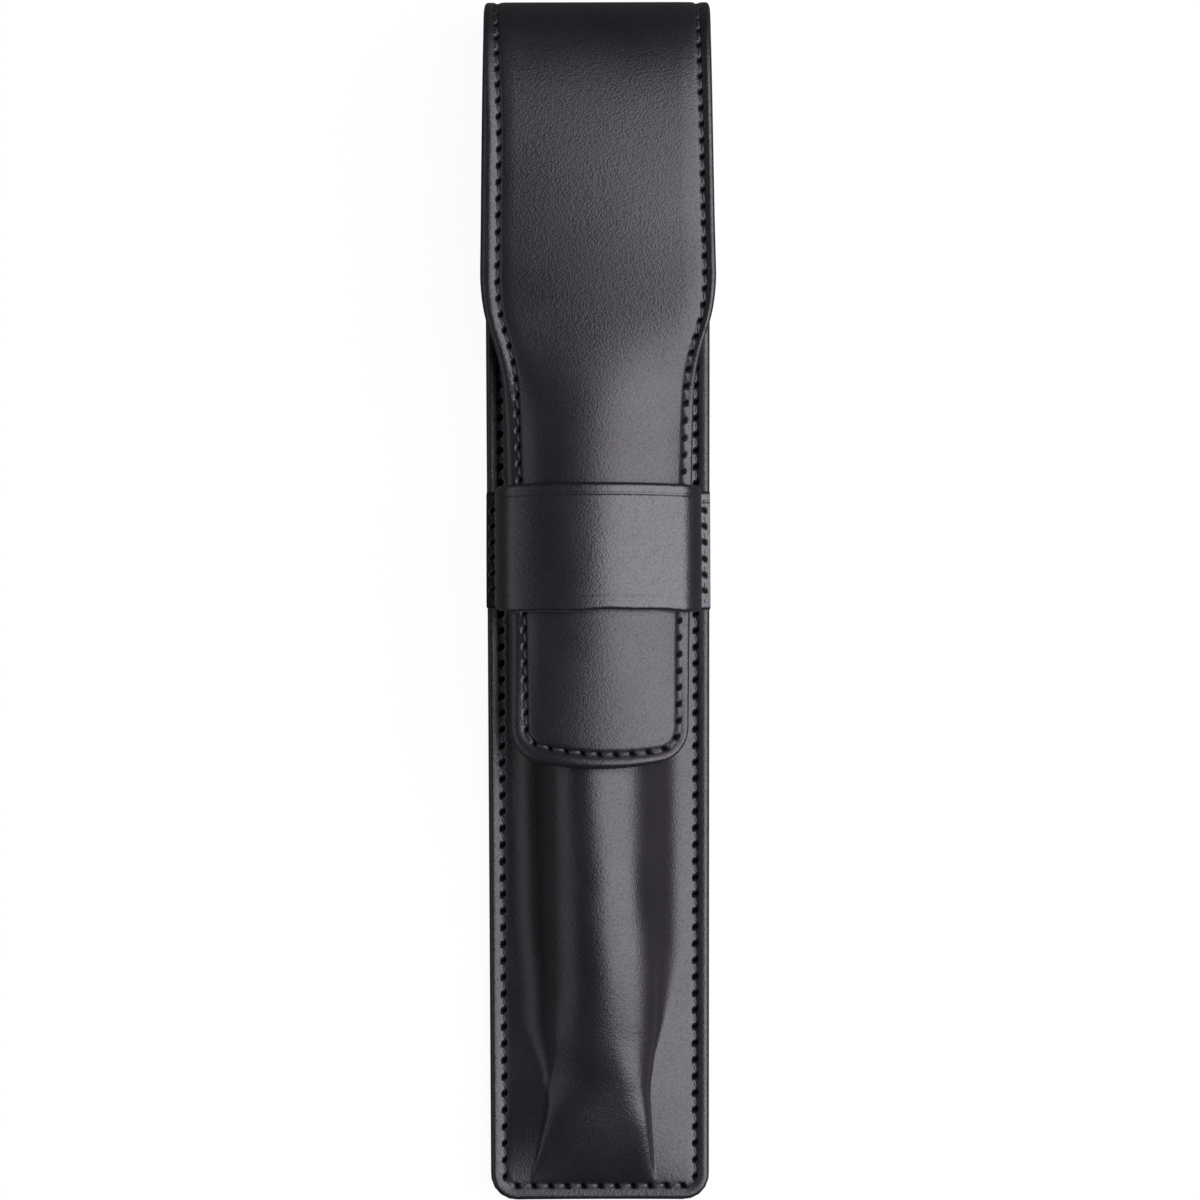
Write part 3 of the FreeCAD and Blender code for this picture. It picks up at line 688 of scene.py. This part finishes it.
flap_low, flap_high = millimetres("flap_leather")
FLAP_LEATHER = 1.1
CROWN_TOP = flap_high[2]
TIP_LINE = flap_low[1]
SLEEVE_TOP = FOLD_LINE + FOLD_RADIUS
FLAP_BEND = 140.0
FLAP_BEND_REACH = 25.0
TONGUE_BEND = 20.0
TONGUE_BEND_REACH = 17.0
ARCH_LINE = 37.0
NEARLY_FLAT = 1e-4
FLATTER_LINE = -4.0
FLATTER_REACH = 16.0
TIP_FLATNESS = 0.3
SHOULDER_LINE = 42.2
SHOULDER_DROP = 17.0
SHOULDER_HALF = flap_high[0]
NECK_HALF = 12.9
TONGUE_HALF = 12.0
TIP_CORNER = 4.8
TIP_BOW = 40.0
FLAP_MARGIN = 1.9
FOLD_MARGIN = 1.6
NECK_MARGIN = 1.62
MARGIN_WAYS = (6, 24, 42, 52, 66, 80)
MARGINS = (FOLD_MARGIN, FLAP_MARGIN, FLAP_MARGIN, NECK_MARGIN, NECK_MARGIN, FLAP_MARGIN)
SEAM_DRIFT = 0.42
DRIFT_START = 8.0
DRIFT_REACH = 16.0
GROOVE_DEPTH = 0.36
GROOVE_REACHES = (0.68, 0.5)
BEAD_START = 0.9
BEAD_WIDTH = 1.5
BEAD_ROUNDING = 0.2
FLAP_LEAN = 0.055
LEAN_LINE = 38.0
LEAN_REACH = 12.0
FOLD_DROP = 2.8
FOLD_REACH = 6.5
FOLD_TOP = CROWN_TOP - FOLD_DROP
FOLD_TILT = math.atan(FOLD_DROP / FOLD_REACH)
UPPER_RADIUS = FOLD_RADIUS / (1 - math.sin(FOLD_TILT))
UPPER_CENTRE = (SLEEVE_TOP - UPPER_RADIUS, FOLD_TOP - UPPER_RADIUS * math.cos(FOLD_TILT))


def flap_half(y):
    """Half the width of the flap: straight sides, an S-shaped shoulder of two equal arcs, then the tongue."""
    neck_line = SHOULDER_LINE - SHOULDER_DROP
    swing = SHOULDER_HALF - NECK_HALF
    radius = (swing ** 2 + SHOULDER_DROP ** 2) / (4 * swing)
    corner_y = TIP_LINE + TIP_CORNER
    half_drop = SHOULDER_DROP / 2
    side = SHOULDER_HALF + (FOLD_HALF - SHOULDER_HALF) * np.clip(
        (y - SHOULDER_LINE) / (FOLD_LINE - SHOULDER_LINE), 0, 1)
    upper = SHOULDER_HALF - radius + np.sqrt(radius ** 2 - np.clip(SHOULDER_LINE - y, 0, half_drop) ** 2)
    lower = NECK_HALF + radius - np.sqrt(radius ** 2 - np.clip(y - neck_line, 0, half_drop) ** 2)
    tongue = TONGUE_HALF + (NECK_HALF - TONGUE_HALF) * (y - corner_y) / (neck_line - corner_y)
    return np.select([y >= SHOULDER_LINE, y >= SHOULDER_LINE - half_drop, y >= neck_line],
                     [side, upper, lower], tongue)


def flap_level(x, y):
    """Height of the flap's outer face: it climbs to the hump, arches across and flattens towards its tip."""
    crown = CROWN_TOP - FOLD_DROP * np.exp((y - FOLD_LINE) / FOLD_REACH)
    curvature = np.clip((FOLD_LINE - y) / FLAP_BEND_REACH, NEARLY_FLAT, 1) / FLAP_BEND
    to_tongue = smooth((ARCH_LINE - y) / TONGUE_BEND_REACH)
    curvature = curvature + (1 / TONGUE_BEND - 1 / FLAP_BEND) * to_tongue
    curvature = curvature * (1 - TIP_FLATNESS * smooth((FLATTER_LINE - y) / FLATTER_REACH))
    lean = FLAP_LEAN * x * np.exp(-((y - LEAN_LINE) / LEAN_REACH) ** 2)
    return crown + lean - (1 - np.sqrt(1 - (x * curvature) ** 2)) / curvature


def flap_place(x, along, depth):
    """A point of the flap, with depth counted from its outer face: up the spine, round the bend, level."""
    depth = np.broadcast_to(depth, x.shape)
    over = np.maximum(along - FOLD_LINE, 0)
    arc = UPPER_RADIUS * (math.pi / 2 - FOLD_TILT)
    turn = math.pi / 2 - FOLD_TILT - np.minimum(over, arc) / UPPER_RADIUS
    reach = UPPER_RADIUS - depth
    bent = np.stack([x, UPPER_CENTRE[0] + reach * np.cos(turn),
                     UPPER_CENTRE[1] + reach * np.sin(turn) - np.maximum(over - arc, 0)], axis=-1)
    lying = below(flap_level, x, np.minimum(along, FOLD_LINE), depth)
    return np.where((along > FOLD_LINE)[..., None], bent, lying)


def flap_margin(ways):
    """The flap's seam lies further in, a little nearer to the right edge, and nearer to both at the fold."""
    from_top = flap_edge.end - np.abs(ways)
    side = np.clip(ways / flap_edge.corner_middle, -1, 1)
    drift = SEAM_DRIFT * side * np.clip((from_top - DRIFT_START) / DRIFT_REACH, 0, 1)
    return np.interp(from_top, MARGIN_WAYS, MARGINS) - drift


def flap_bead(off):
    """Depth beside the flap's seam: it lies in a groove, and the margin outside it is a rounded bead."""
    groove = GROOVE_DEPTH * np.exp(-(off / np.where(off < 0, *GROOVE_REACHES)) ** 2)
    return groove + BEAD_ROUNDING * np.clip(-off - BEAD_START, 0, BEAD_WIDTH) ** 2


FLAP_TOP = FOLD_LINE + UPPER_RADIUS * (math.pi / 2 - FOLD_TILT) + UPPER_CENTRE[1] - SPINE_MIDDLE
TIP_RISE = TIP_BOW - math.sqrt((TIP_BOW - TIP_CORNER) ** 2 - (TONGUE_HALF - TIP_CORNER) ** 2)
flap_edge = cut_edge(flap_half, TIP_LINE + TIP_RISE, TIP_CORNER, TIP_BOW, FLAP_TOP)
flap_and_tongue = sewn_panel("flap_and_tongue", flap_edge, flap_margin, FLAP_LEATHER, flap_place,
                             [outer_calf, painted_edge], dips=flap_bead)
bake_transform(flap_and_tongue)
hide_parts("flap_leather", "fold_leather")


# Flap lining: lining leather glued all over the inside of the flap and the upper half of the fold. It is
# trimmed flush, so that the painted edge covers both layers.

flap_lining_place = lined(flap_place, FLAP_LEATHER + LINING)
flap_lining = sewn_panel("flap_lining_leather", flap_edge, flap_margin, LINING, flap_lining_place,
                         [lining_calf, painted_edge], steps=LINING_STEPS)
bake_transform(flap_lining)
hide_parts("flap_lining", "fold_lining")


# Keeper strap: a band of thinner, glossier calf over the tongue, with a thin lining. It stands up beside the
# tongue, and its ends are turned out flat on the wings and sewn down. A creased line runs near each edge.

strap_low, strap_high = millimetres("strap")
STRAP_MIDDLE = (strap_low[1] + strap_high[1]) / 2
STRAP_REACH = (strap_high[1] - strap_low[1]) / 2
STRAP_FOOT = strap_high[0]
STRAP_LEATHER = 0.6
STRAP_LINING = 0.3
STRAP_ARCH = 22.2
STRAP_SHOULDER = 5.4
STRAP_LEG = 13.65
STRAP_FILLET = 0.4
STRAP_LIFT = 0.15
ARCH_CENTRE = strap_high[2] + STRAP_LIFT - STRAP_ARCH
FOOT_TOP = WING_LEVEL + STRAP_LEATHER
FOOT_FALL = 0.2
STRAP_MARGIN = 0.8
STRAP_HOLE = 0.4
HOLE_LEVEL = FOOT_TOP + 0.5
LOW_EDGE_DROP = 0.55
LOW_EDGE_WAVES = ((0.10, 3.1, 0.0), (0.06, 1.3, 1.0))
END_TAPER = 1.45
TAPER_TOP = strap_high[2] - 3.0
STRAP_STEP = 0.14

# Across the strap: its two creases with their depths, the points close to a crease, insets and shares of the
# thickness over its rounded rims, and how many points lie in a row on either face and how far in
STRAP_CREASES = ((STRAP_REACH - 1.4, 0.1), (1.9 - STRAP_REACH, 0.05))
CREASE_REACH = 0.2
NEAR_CREASE = np.array([-0.3, -0.2, -0.1, 0.0, 0.1, 0.2, 0.3])
STRAP_RIM = np.array([(0.0, 1.0), (0.03, 0.75), (0.0, 0.5), (-0.1, 0.28), (-0.26, 0.11), (-0.45, 0.03),
                      (-0.65, 0.0)])
OUTER_COLUMNS = 72
OUTER_INSET = 0.7
INNER_COLUMNS = 10
INNER_INSET = 0.5


def stretch(length):
    """Shares from 0 to 1 along a stretch of the strap, at even steps."""
    return np.linspace(0, 1, max(3, round(length / STRAP_STEP) + 1))[:-1]


def round_stretch(centre, radius, start, end, hollow=False):
    """Places and outward directions along an arc of the strap's outer face."""
    angles = start + (end - start) * stretch(radius * abs(end - start))
    out = np.stack([np.cos(angles), np.sin(angles)], axis=-1)
    return np.array(centre) + radius * out, -out if hollow else out


def straight_stretch(start, end, out):
    """Places and outward directions along a straight of the strap's outer face."""
    start, end = np.array(start), np.array(end)
    places = start + (end - start) * stretch(np.hypot(*(end - start)))[:, None]
    return places, np.tile(out, (len(places), 1)).astype(float)


def strap_profile(with_feet):
    """The strap's outer face seen along the sleeve, from left to right, with outward directions."""
    shoulder_x = STRAP_LEG - STRAP_SHOULDER
    shoulder_z = ARCH_CENTRE + math.sqrt((STRAP_ARCH - STRAP_SHOULDER) ** 2 - shoulder_x ** 2)
    meet = math.atan2(shoulder_z - ARCH_CENTRE, shoulder_x)
    leg_end = FOOT_TOP + FOOT_FALL + STRAP_FILLET if with_feet else WING_LEVEL
    parts = [round_stretch((0, ARCH_CENTRE), STRAP_ARCH, math.pi / 2, meet),
             round_stretch((shoulder_x, shoulder_z), STRAP_SHOULDER, meet, 0),
             straight_stretch((STRAP_LEG, shoulder_z), (STRAP_LEG, leg_end), (1, 0))]
    end = (STRAP_LEG, leg_end)
    if with_feet:
        end = (STRAP_FOOT, FOOT_TOP)
        start = (STRAP_LEG + STRAP_FILLET, FOOT_TOP + FOOT_FALL)
        fall = math.atan2(FOOT_FALL, end[0] - start[0])
        parts.append(round_stretch((start[0], leg_end), STRAP_FILLET, math.pi, 1.5 * math.pi, True))
        parts.append(straight_stretch(start, end, (math.sin(fall), math.cos(fall))))
    places = np.concatenate([part[0] for part in parts] + [[end]])
    out = np.concatenate([part[1] for part in parts] + [parts[-1][1][-1:]])
    mirror = np.array([-1, 1])
    return np.concatenate([places[:0:-1] * mirror, places]), np.concatenate([out[:0:-1] * mirror, out])


def strap_loop(top, thickness):
    """Places across the strap and depths, once round it, and which of them are on its outer face."""
    inset, share = STRAP_RIM.T
    even = np.linspace(-1, 1, OUTER_COLUMNS)[1:-1] * (STRAP_REACH - OUTER_INSET)
    face = np.unique(np.concatenate([even, *(line + NEAR_CREASE for line, deep in STRAP_CREASES)]))
    back = np.linspace(1, -1, INNER_COLUMNS)[1:-1] * (STRAP_REACH - INNER_INSET)
    across = np.concatenate([-STRAP_REACH - inset, face, (STRAP_REACH + inset)[::-1], back])
    depth = top + thickness * np.concatenate([share, 0 * face, share[::-1], np.ones_like(back)])
    return across, depth, slice(len(inset), len(inset) + len(face))


def strap_band(name, top, thickness, materials, with_feet):
    """One closed layer of the strap between two depths. The outer layer is creased, and sewn at its feet."""
    places, out = strap_profile(with_feet)
    across, depth, outer = strap_loop(top, thickness)
    total = np.tile(depth, (len(places), 1))
    holes = np.zeros_like(total)
    if with_feet:
        for line, deep in STRAP_CREASES:
            total[:, outer] += deep * np.exp(-((across[outer] - line) / CREASE_REACH) ** 2)
        off = np.abs(places[:, :1]) - (STRAP_FOOT - STRAP_MARGIN)
        on_foot = places[:, 1:] < HOLE_LEVEL
        holes[:, outer] = needle_holes(across[outer] + STITCH_PITCH / 2, off) * on_foot
        total += STRAP_HOLE * holes
    grid = places[:, None, :] - out[:, None, :] * total[..., None]
    drift = sum(size * np.sin(places[:, 0] / reach + start) for size, reach, start in LOW_EDGE_WAVES)
    lift = END_TAPER * np.clip((TAPER_TOP - places[:, 1:]) / TAPER_TOP, 0, 1) - LOW_EDGE_DROP
    y = STRAP_MIDDLE + across[None, :] + drift[:, None] * (across[None, :] < 0)
    y = y + lift * (1 - across[None, :] / STRAP_REACH) / 2
    points = np.stack([grid[..., 0], np.broadcast_to(y, grid.shape[:2]), grid[..., 1]], axis=-1)
    ids = np.arange(points[..., 0].size).reshape(points.shape[:2])
    closed = np.concatenate([ids, ids[:, :1]], axis=1)
    ends = [ids[0].tolist(), ids[-1][::-1].tolist()]
    faces = grid_faces(closed) + ends
    return new_piece(name, points.reshape(-1, 3), faces, materials, len(ends), holes.reshape(-1))


strap_calf = calf_leather("glazed_calf_leather", pebble=0.3, relief=0.017, roughness=0.31, gloss=0.68)
keeper_strap = strap_band("keeper_strap", 0.0, STRAP_LEATHER, [strap_calf, painted_edge], with_feet=True)
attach(keeper_strap, "sleeve")
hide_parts("strap")

strap_lining = strap_band("keeper_strap_lining", STRAP_LEATHER, STRAP_LINING, [lining_calf, painted_edge],
                          with_feet=False)
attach(strap_lining, "sleeve")
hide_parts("strap_lining")


# Stitches: waxed black linen thread, saddle stitched through slanted awl holes all round the edges. Each
# stitch is a short bowed length of thread that dives into a hole at both ends.

THREAD_RADIUS = 0.2
STITCH_BOW = 0.12
STITCH_SHARE = 0.52
STITCH_SLANT = math.radians(9)
STITCH_JITTER = math.radians(3)
STITCH_SEED = 7
STITCH_LINE = ((-0.5, -1.0), (-0.3, 1.2), (0.3, 1.2), (0.5, -1.0))
STITCH_SEGMENTS = 6


def waxed_thread():
    """Waxed linen thread: black, with a dull waxy gleam broken up by its twist."""
    material, tree = new_material("waxed_linen_thread")
    strands = noise(tree, 0.2, 2.0)
    tone = mixed(tree, strands, colour("#201e22"), colour("#322f34"))
    twist = bumped(tree, strands, 0.05)
    surfaced(tree, {"Base Color": tone, "Roughness": 0.45, "IOR": 1.45, "Normal": twist})
    return material


def stitch_tree():
    """Geometry nodes that lay one bowed stitch at every point, along and up as its two attributes say."""
    tree = bpy.data.node_groups.new("saddle_stitches", "GeometryNodeTree")
    numbers = ("Stitch Length", "Thread Radius", "Bow", "Slant", "Jitter")
    for name, kind in (("Places", "Geometry"), *((number, "Float") for number in numbers),
                       ("Seed", "Int"), ("Thread", "Material"), ("Stitches", "Geometry")):
        way = "OUTPUT" if name == "Stitches" else "INPUT"
        tree.interface.new_socket(name, in_out=way, socket_type="NodeSocket" + kind)
    given = add(tree, "NodeGroupInput").outputs
    ends = []
    for share, lift in STITCH_LINE:
        x = raised(tree, given["Stitch Length"], share, 0.0)
        z = raised(tree, given["Bow"], lift, 0.0)
        ends.append(add(tree, "ShaderNodeCombineXYZ", {"X": x, "Z": z}).outputs[0])
    line = add(tree, "GeometryNodeCurvePrimitiveBezierSegment", {
        "Resolution": STITCH_SEGMENTS, "Start": ends[0], "Start Handle": ends[1], "End Handle": ends[2],
        "End": ends[3]})
    section = add(tree, "GeometryNodeCurvePrimitiveCircle", {
        "Resolution": STITCH_SEGMENTS, "Radius": given["Thread Radius"]})
    thread = add(tree, "GeometryNodeCurveToMesh", {
        "Curve": line.outputs[0], "Profile Curve": section.outputs[0], "Fill Caps": True})
    along = add(tree, "GeometryNodeInputNamedAttribute", {"Name": "along"}, data_type="FLOAT_VECTOR")
    up = add(tree, "GeometryNodeInputNamedAttribute", {"Name": "up"}, data_type="FLOAT_VECTOR")
    ahead = add(tree, "FunctionNodeAlignRotationToVector", {"Vector": along.outputs[0]}, axis="X")
    upright = add(tree, "FunctionNodeAlignRotationToVector", {
        "Rotation": ahead.outputs[0], "Vector": up.outputs[0]}, axis="Z", pivot_axis="X")
    least = raised(tree, given["Jitter"], -1.0, 0.0)
    chance = add(tree, "FunctionNodeRandomValue", {
        2: least, 3: given["Jitter"], "Seed": given["Seed"]}, data_type="FLOAT")
    angle = raised(tree, chance.outputs[1], 1.0, given["Slant"])
    slant = add(tree, "FunctionNodeAxisAngleToRotation", {"Axis": (0, 0, 1), "Angle": angle})
    turned = add(tree, "FunctionNodeRotateRotation", {
        "Rotation": upright.outputs[0], "Rotate By": slant.outputs[0]}, rotation_space="LOCAL")
    laid = add(tree, "GeometryNodeInstanceOnPoints", {
        "Points": given["Places"], "Instance": thread.outputs[0], "Rotation": turned.outputs[0]})
    real = add(tree, "GeometryNodeRealizeInstances", {"Geometry": laid.outputs[0]})
    shaded = add(tree, "GeometryNodeSetShadeSmooth", {"Geometry": real.outputs[0]})
    sewn = add(tree, "GeometryNodeSetMaterial", {"Geometry": shaded.outputs[0], "Material": given["Thread"]})
    add(tree, "NodeGroupOutput", {"Stitches": sewn.outputs[0]})
    return tree


thread = waxed_thread()
stitching = stitch_tree()


def sew(name, places, along, up):
    """A row of stitches as one piece, at places on the leather."""
    mesh = bpy.data.meshes.new(name + "_places")
    mesh.from_pydata((places * MM).tolist(), [], [])
    for attribute, vectors in (("along", along), ("up", up)):
        data = mesh.attributes.new(attribute, "FLOAT_VECTOR", "POINT").data
        data.foreach_set("vector", np.asarray(vectors, dtype=np.float32).reshape(-1))
    holder = in_scene(name + "_places", mesh)
    modifier = holder.modifiers.new("stitches", "NODES")
    modifier.node_group = stitching
    sizes = {"Stitch Length": STITCH_SHARE * STITCH_PITCH * MM, "Thread Radius": THREAD_RADIUS * MM,
             "Bow": STITCH_BOW * MM, "Slant": STITCH_SLANT, "Jitter": STITCH_JITTER,
             "Seed": STITCH_SEED, "Thread": thread}
    for item in stitching.interface.items_tree:
        if item.in_out == "INPUT" and item.name in sizes:
            modifier[item.identifier] = sizes[item.name]
    evaluated = holder.evaluated_get(bpy.context.evaluated_depsgraph_get())
    sewn = bpy.data.meshes.new_from_object(evaluated)
    sewn.name = name
    bpy.data.objects.remove(holder)
    piece = in_scene(name, sewn)
    return piece


LOOK_AHEAD = 0.3
LOOK_DOWN = 0.5


def laid_row(at, centres, depth, ahead):
    """Places, directions and outward directions of stitches, from their ways along a row and their depth."""
    along = at(centres + ahead, depth) - at(centres - ahead, depth)
    return at(centres, depth), along, at(centres, 0.0) - at(centres, LOOK_DOWN)


def seam_row(edge, margin, place, depth):
    """The stitches along a panel's seam, half a pitch from its holes."""
    ways, runs = seam_steps(edge, margin)
    last = int(runs[-1] / STITCH_PITCH - 0.5)
    centres = (np.arange(-last - 1, last + 1) + 0.5) * STITCH_PITCH

    def at(run, level):
        way = np.interp(run, runs, ways)
        x, y = edge(way, margin(way))
        return place(x, y, np.full_like(x, level))

    return laid_row(at, centres, depth, LOOK_AHEAD)


def part_of(row, keep):
    """The stitches of a row that a test on their places keeps."""
    return [part[keep] for part in row]


THREAD_SINK = 0.24
FLAP_SINK = 0.46
front_row = seam_row(front_edge, seam_margin, front_place, THREAD_SINK)
clear_of_strap = np.abs(front_row[0][:, 1] - STRAP_MIDDLE) > STRAP_REACH + STITCH_PITCH / 3
front_thread = sew("front_seam_thread", *part_of(front_row, clear_of_strap))
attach(front_thread, "sleeve")
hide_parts("seam_stitches_front")

back_row = seam_row(back_edge, seam_margin, back_place, THREAD_RADIUS + STITCH_BOW)
on_back = back_row[0][:, 1] < FOLD_LINE
back_thread = sew("back_seam_thread", *part_of(back_row, on_back))
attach(back_thread, "sleeve")
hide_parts("seam_stitches_back")

lining_row = seam_row(back_edge, seam_margin, back_lining_place, THREAD_SINK)
in_fold = lining_row[0][:, 1] >= FOLD_LINE
above_mouth = (lining_row[0][:, 1] > MOUTH_LINE) & ~in_fold
inside_thread = sew("inside_seam_thread", *part_of(lining_row, above_mouth))
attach(inside_thread, "sleeve")
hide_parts("seam_stitches_front")

fold_rows = zip(part_of(back_row, ~on_back), part_of(lining_row, in_fold))
lower_fold_thread = sew("lower_fold_thread", *(np.concatenate(both) for both in fold_rows))
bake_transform(lower_fold_thread)
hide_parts("fold_stitches")

flap_row = seam_row(flap_edge, flap_margin, flap_place, FLAP_SINK)
flap_thread = sew("flap_seam_thread", *flap_row)
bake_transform(flap_thread)
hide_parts("flap_stitches_front", "fold_stitches")

flap_inside_row = seam_row(flap_edge, flap_margin, flap_lining_place, THREAD_SINK)
flap_inside_thread = sew("flap_inside_thread", *flap_inside_row)
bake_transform(flap_inside_thread)
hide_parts("flap_stitches_inside", "fold_stitches")

STRAP_STITCHES = 7
STRAP_SINK = 0.05
strap_steps = (np.arange(STRAP_STITCHES) - STRAP_STITCHES // 2) * STITCH_PITCH + STRAP_MIDDLE
strap_places = np.array([(side * (STRAP_FOOT - STRAP_MARGIN), y, FOOT_TOP - STRAP_SINK)
                         for side in (-1, 1) for y in strap_steps])
strap_thread = sew("strap_thread", strap_places, np.tile((0, 1, 0), (len(strap_places), 1)),
                   np.tile((0, 0, 1), (len(strap_places), 1)))
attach(strap_thread, "sleeve")
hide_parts("strap_stitches")

MOUTH_ROW = MOUTH_LINE - 2.0
MOUTH_ROW_HALF = 11.0
MOUTH_SINK = 0.1
MOUTH_LOOK_AHEAD = 0.05


def across_row(place, y, half, depth):
    """The stitches of a row right across a panel, spaced evenly over its hump."""
    def at(x, level):
        return place(x, np.full_like(x, y), np.full_like(x, level))

    fine = np.linspace(-half, half, FINE_COLUMNS)
    runs = np.append(0, np.cumsum(np.linalg.norm(np.diff(at(fine, 0.0), axis=0), axis=1)))
    count = round(runs[-1] / STITCH_PITCH)
    x = np.interp((np.arange(count) + 0.5) * runs[-1] / count, runs, fine)
    return laid_row(at, x, depth, MOUTH_LOOK_AHEAD)


mouth_thread = sew("mouth_thread", *across_row(front_place, MOUTH_ROW, MOUTH_ROW_HALF, MOUTH_SINK))
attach(mouth_thread, "sleeve")
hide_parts("mouth_stitches")


# Studio: a plain white table, one large soft box from the right and a weak one from the left, and a camera
# nearly straight above, as the photograph was taken.

TABLE_SIZE = 3.0
GLOSSY_LEVEL = 0.1
SHADOW_SHARE = 0.05
TABLE_DROP = 0.0002
table_mesh = bpy.data.meshes.new("table")
table_corners = [(x * TABLE_SIZE / 2, y * TABLE_SIZE / 2, 0) for x, y in ((-1, -1), (1, -1), (1, 1), (-1, 1))]
table_mesh.from_pydata(table_corners, [], [(0, 1, 2, 3)])
table = in_scene("table", table_mesh)
table.location.z = -TABLE_DROP
paper, paper_tree = new_material("white_paper")
tint = mixed(paper_tree, noise(paper_tree, 10 / 3, 2.0), colour("#f4f4f4"), colour("#fafafa"))
matt = add(paper_tree, "ShaderNodeBsdfDiffuse", {"Color": tint})
ray = add(paper_tree, "ShaderNodeLightPath").outputs
seen = raised(paper_tree, ray["Is Camera Ray"], 1.0, ray["Is Transmission Ray"])
level = raised(paper_tree, ray["Is Glossy Ray"], GLOSSY_LEVEL, seen)
plain = add(paper_tree, "ShaderNodeEmission", {"Strength": level})
share = raised(paper_tree, seen, 1 - SHADOW_SHARE, ray["Is Glossy Ray"])
sheet = add(paper_tree, "ShaderNodeMixShader", {0: share, 1: matt.outputs[0], 2: plain.outputs[0]})
add(paper_tree, "ShaderNodeOutputMaterial", {"Surface": sheet.outputs[0]})
table_mesh.materials.append(paper)


POWER_PER_AREA = 4


def soft_box(name, angle, distance, offset, width, length, brightness, tone):
    """A rectangular soft box, turned to the sleeve from the side; its length runs along, with an offset."""
    light = bpy.data.lights.new(name, "AREA")
    light.shape = "RECTANGLE"
    light.size = width
    light.size_y = length
    light.energy = brightness * POWER_PER_AREA * width * length
    light.color = colour(tone)[:3]
    box = in_scene(name, light)
    turn = math.radians(angle)
    box.location = (distance * math.sin(turn), offset, distance * math.cos(turn))
    box.rotation_euler = (0, turn, 0)


soft_box("key_box", angle=39, distance=0.6, offset=-0.015, width=0.93, length=0.81, brightness=3.85,
         tone="#f9f4ff")
soft_box("fill_box", angle=-69, distance=0.7, offset=0.0, width=0.38, length=0.9, brightness=0.74,
         tone="#fbf4ff")

WORLD_LEVEL = 0.03
world = bpy.data.worlds.new("studio")
world.use_nodes = True
bpy.context.scene.world = world
backdrop = world.node_tree.nodes["Background"]
backdrop.inputs["Color"].default_value = colour("#ffffff")
backdrop.inputs["Strength"].default_value = WORLD_LEVEL

CAMERA_DISTANCE = 620.0
CAMERA_TILT = math.radians(4)
CAMERA_ROLL = math.radians(-0.15)
FRAME_WIDTH = 161.5
PHOTO_PIXELS = 1200
FRAME_SHIFT = (1.5 / PHOTO_PIXELS, -1.3 / PHOTO_PIXELS)
SENSOR = 36.0
camera_data = bpy.data.cameras.new("camera")
camera_data.sensor_width = SENSOR
camera_data.lens = SENSOR * CAMERA_DISTANCE / FRAME_WIDTH
camera_data.shift_x, camera_data.shift_y = FRAME_SHIFT
camera = in_scene("camera", camera_data)
camera.rotation_mode = "ZXY"
camera.rotation_euler = (CAMERA_TILT, 0, CAMERA_ROLL)
camera_reach = CAMERA_DISTANCE * MM
camera.location = (0, -camera_reach * math.sin(CAMERA_TILT), camera_reach * math.cos(CAMERA_TILT))
bpy.context.scene.camera = camera
bpy.context.scene.view_settings.view_transform = "Standard"
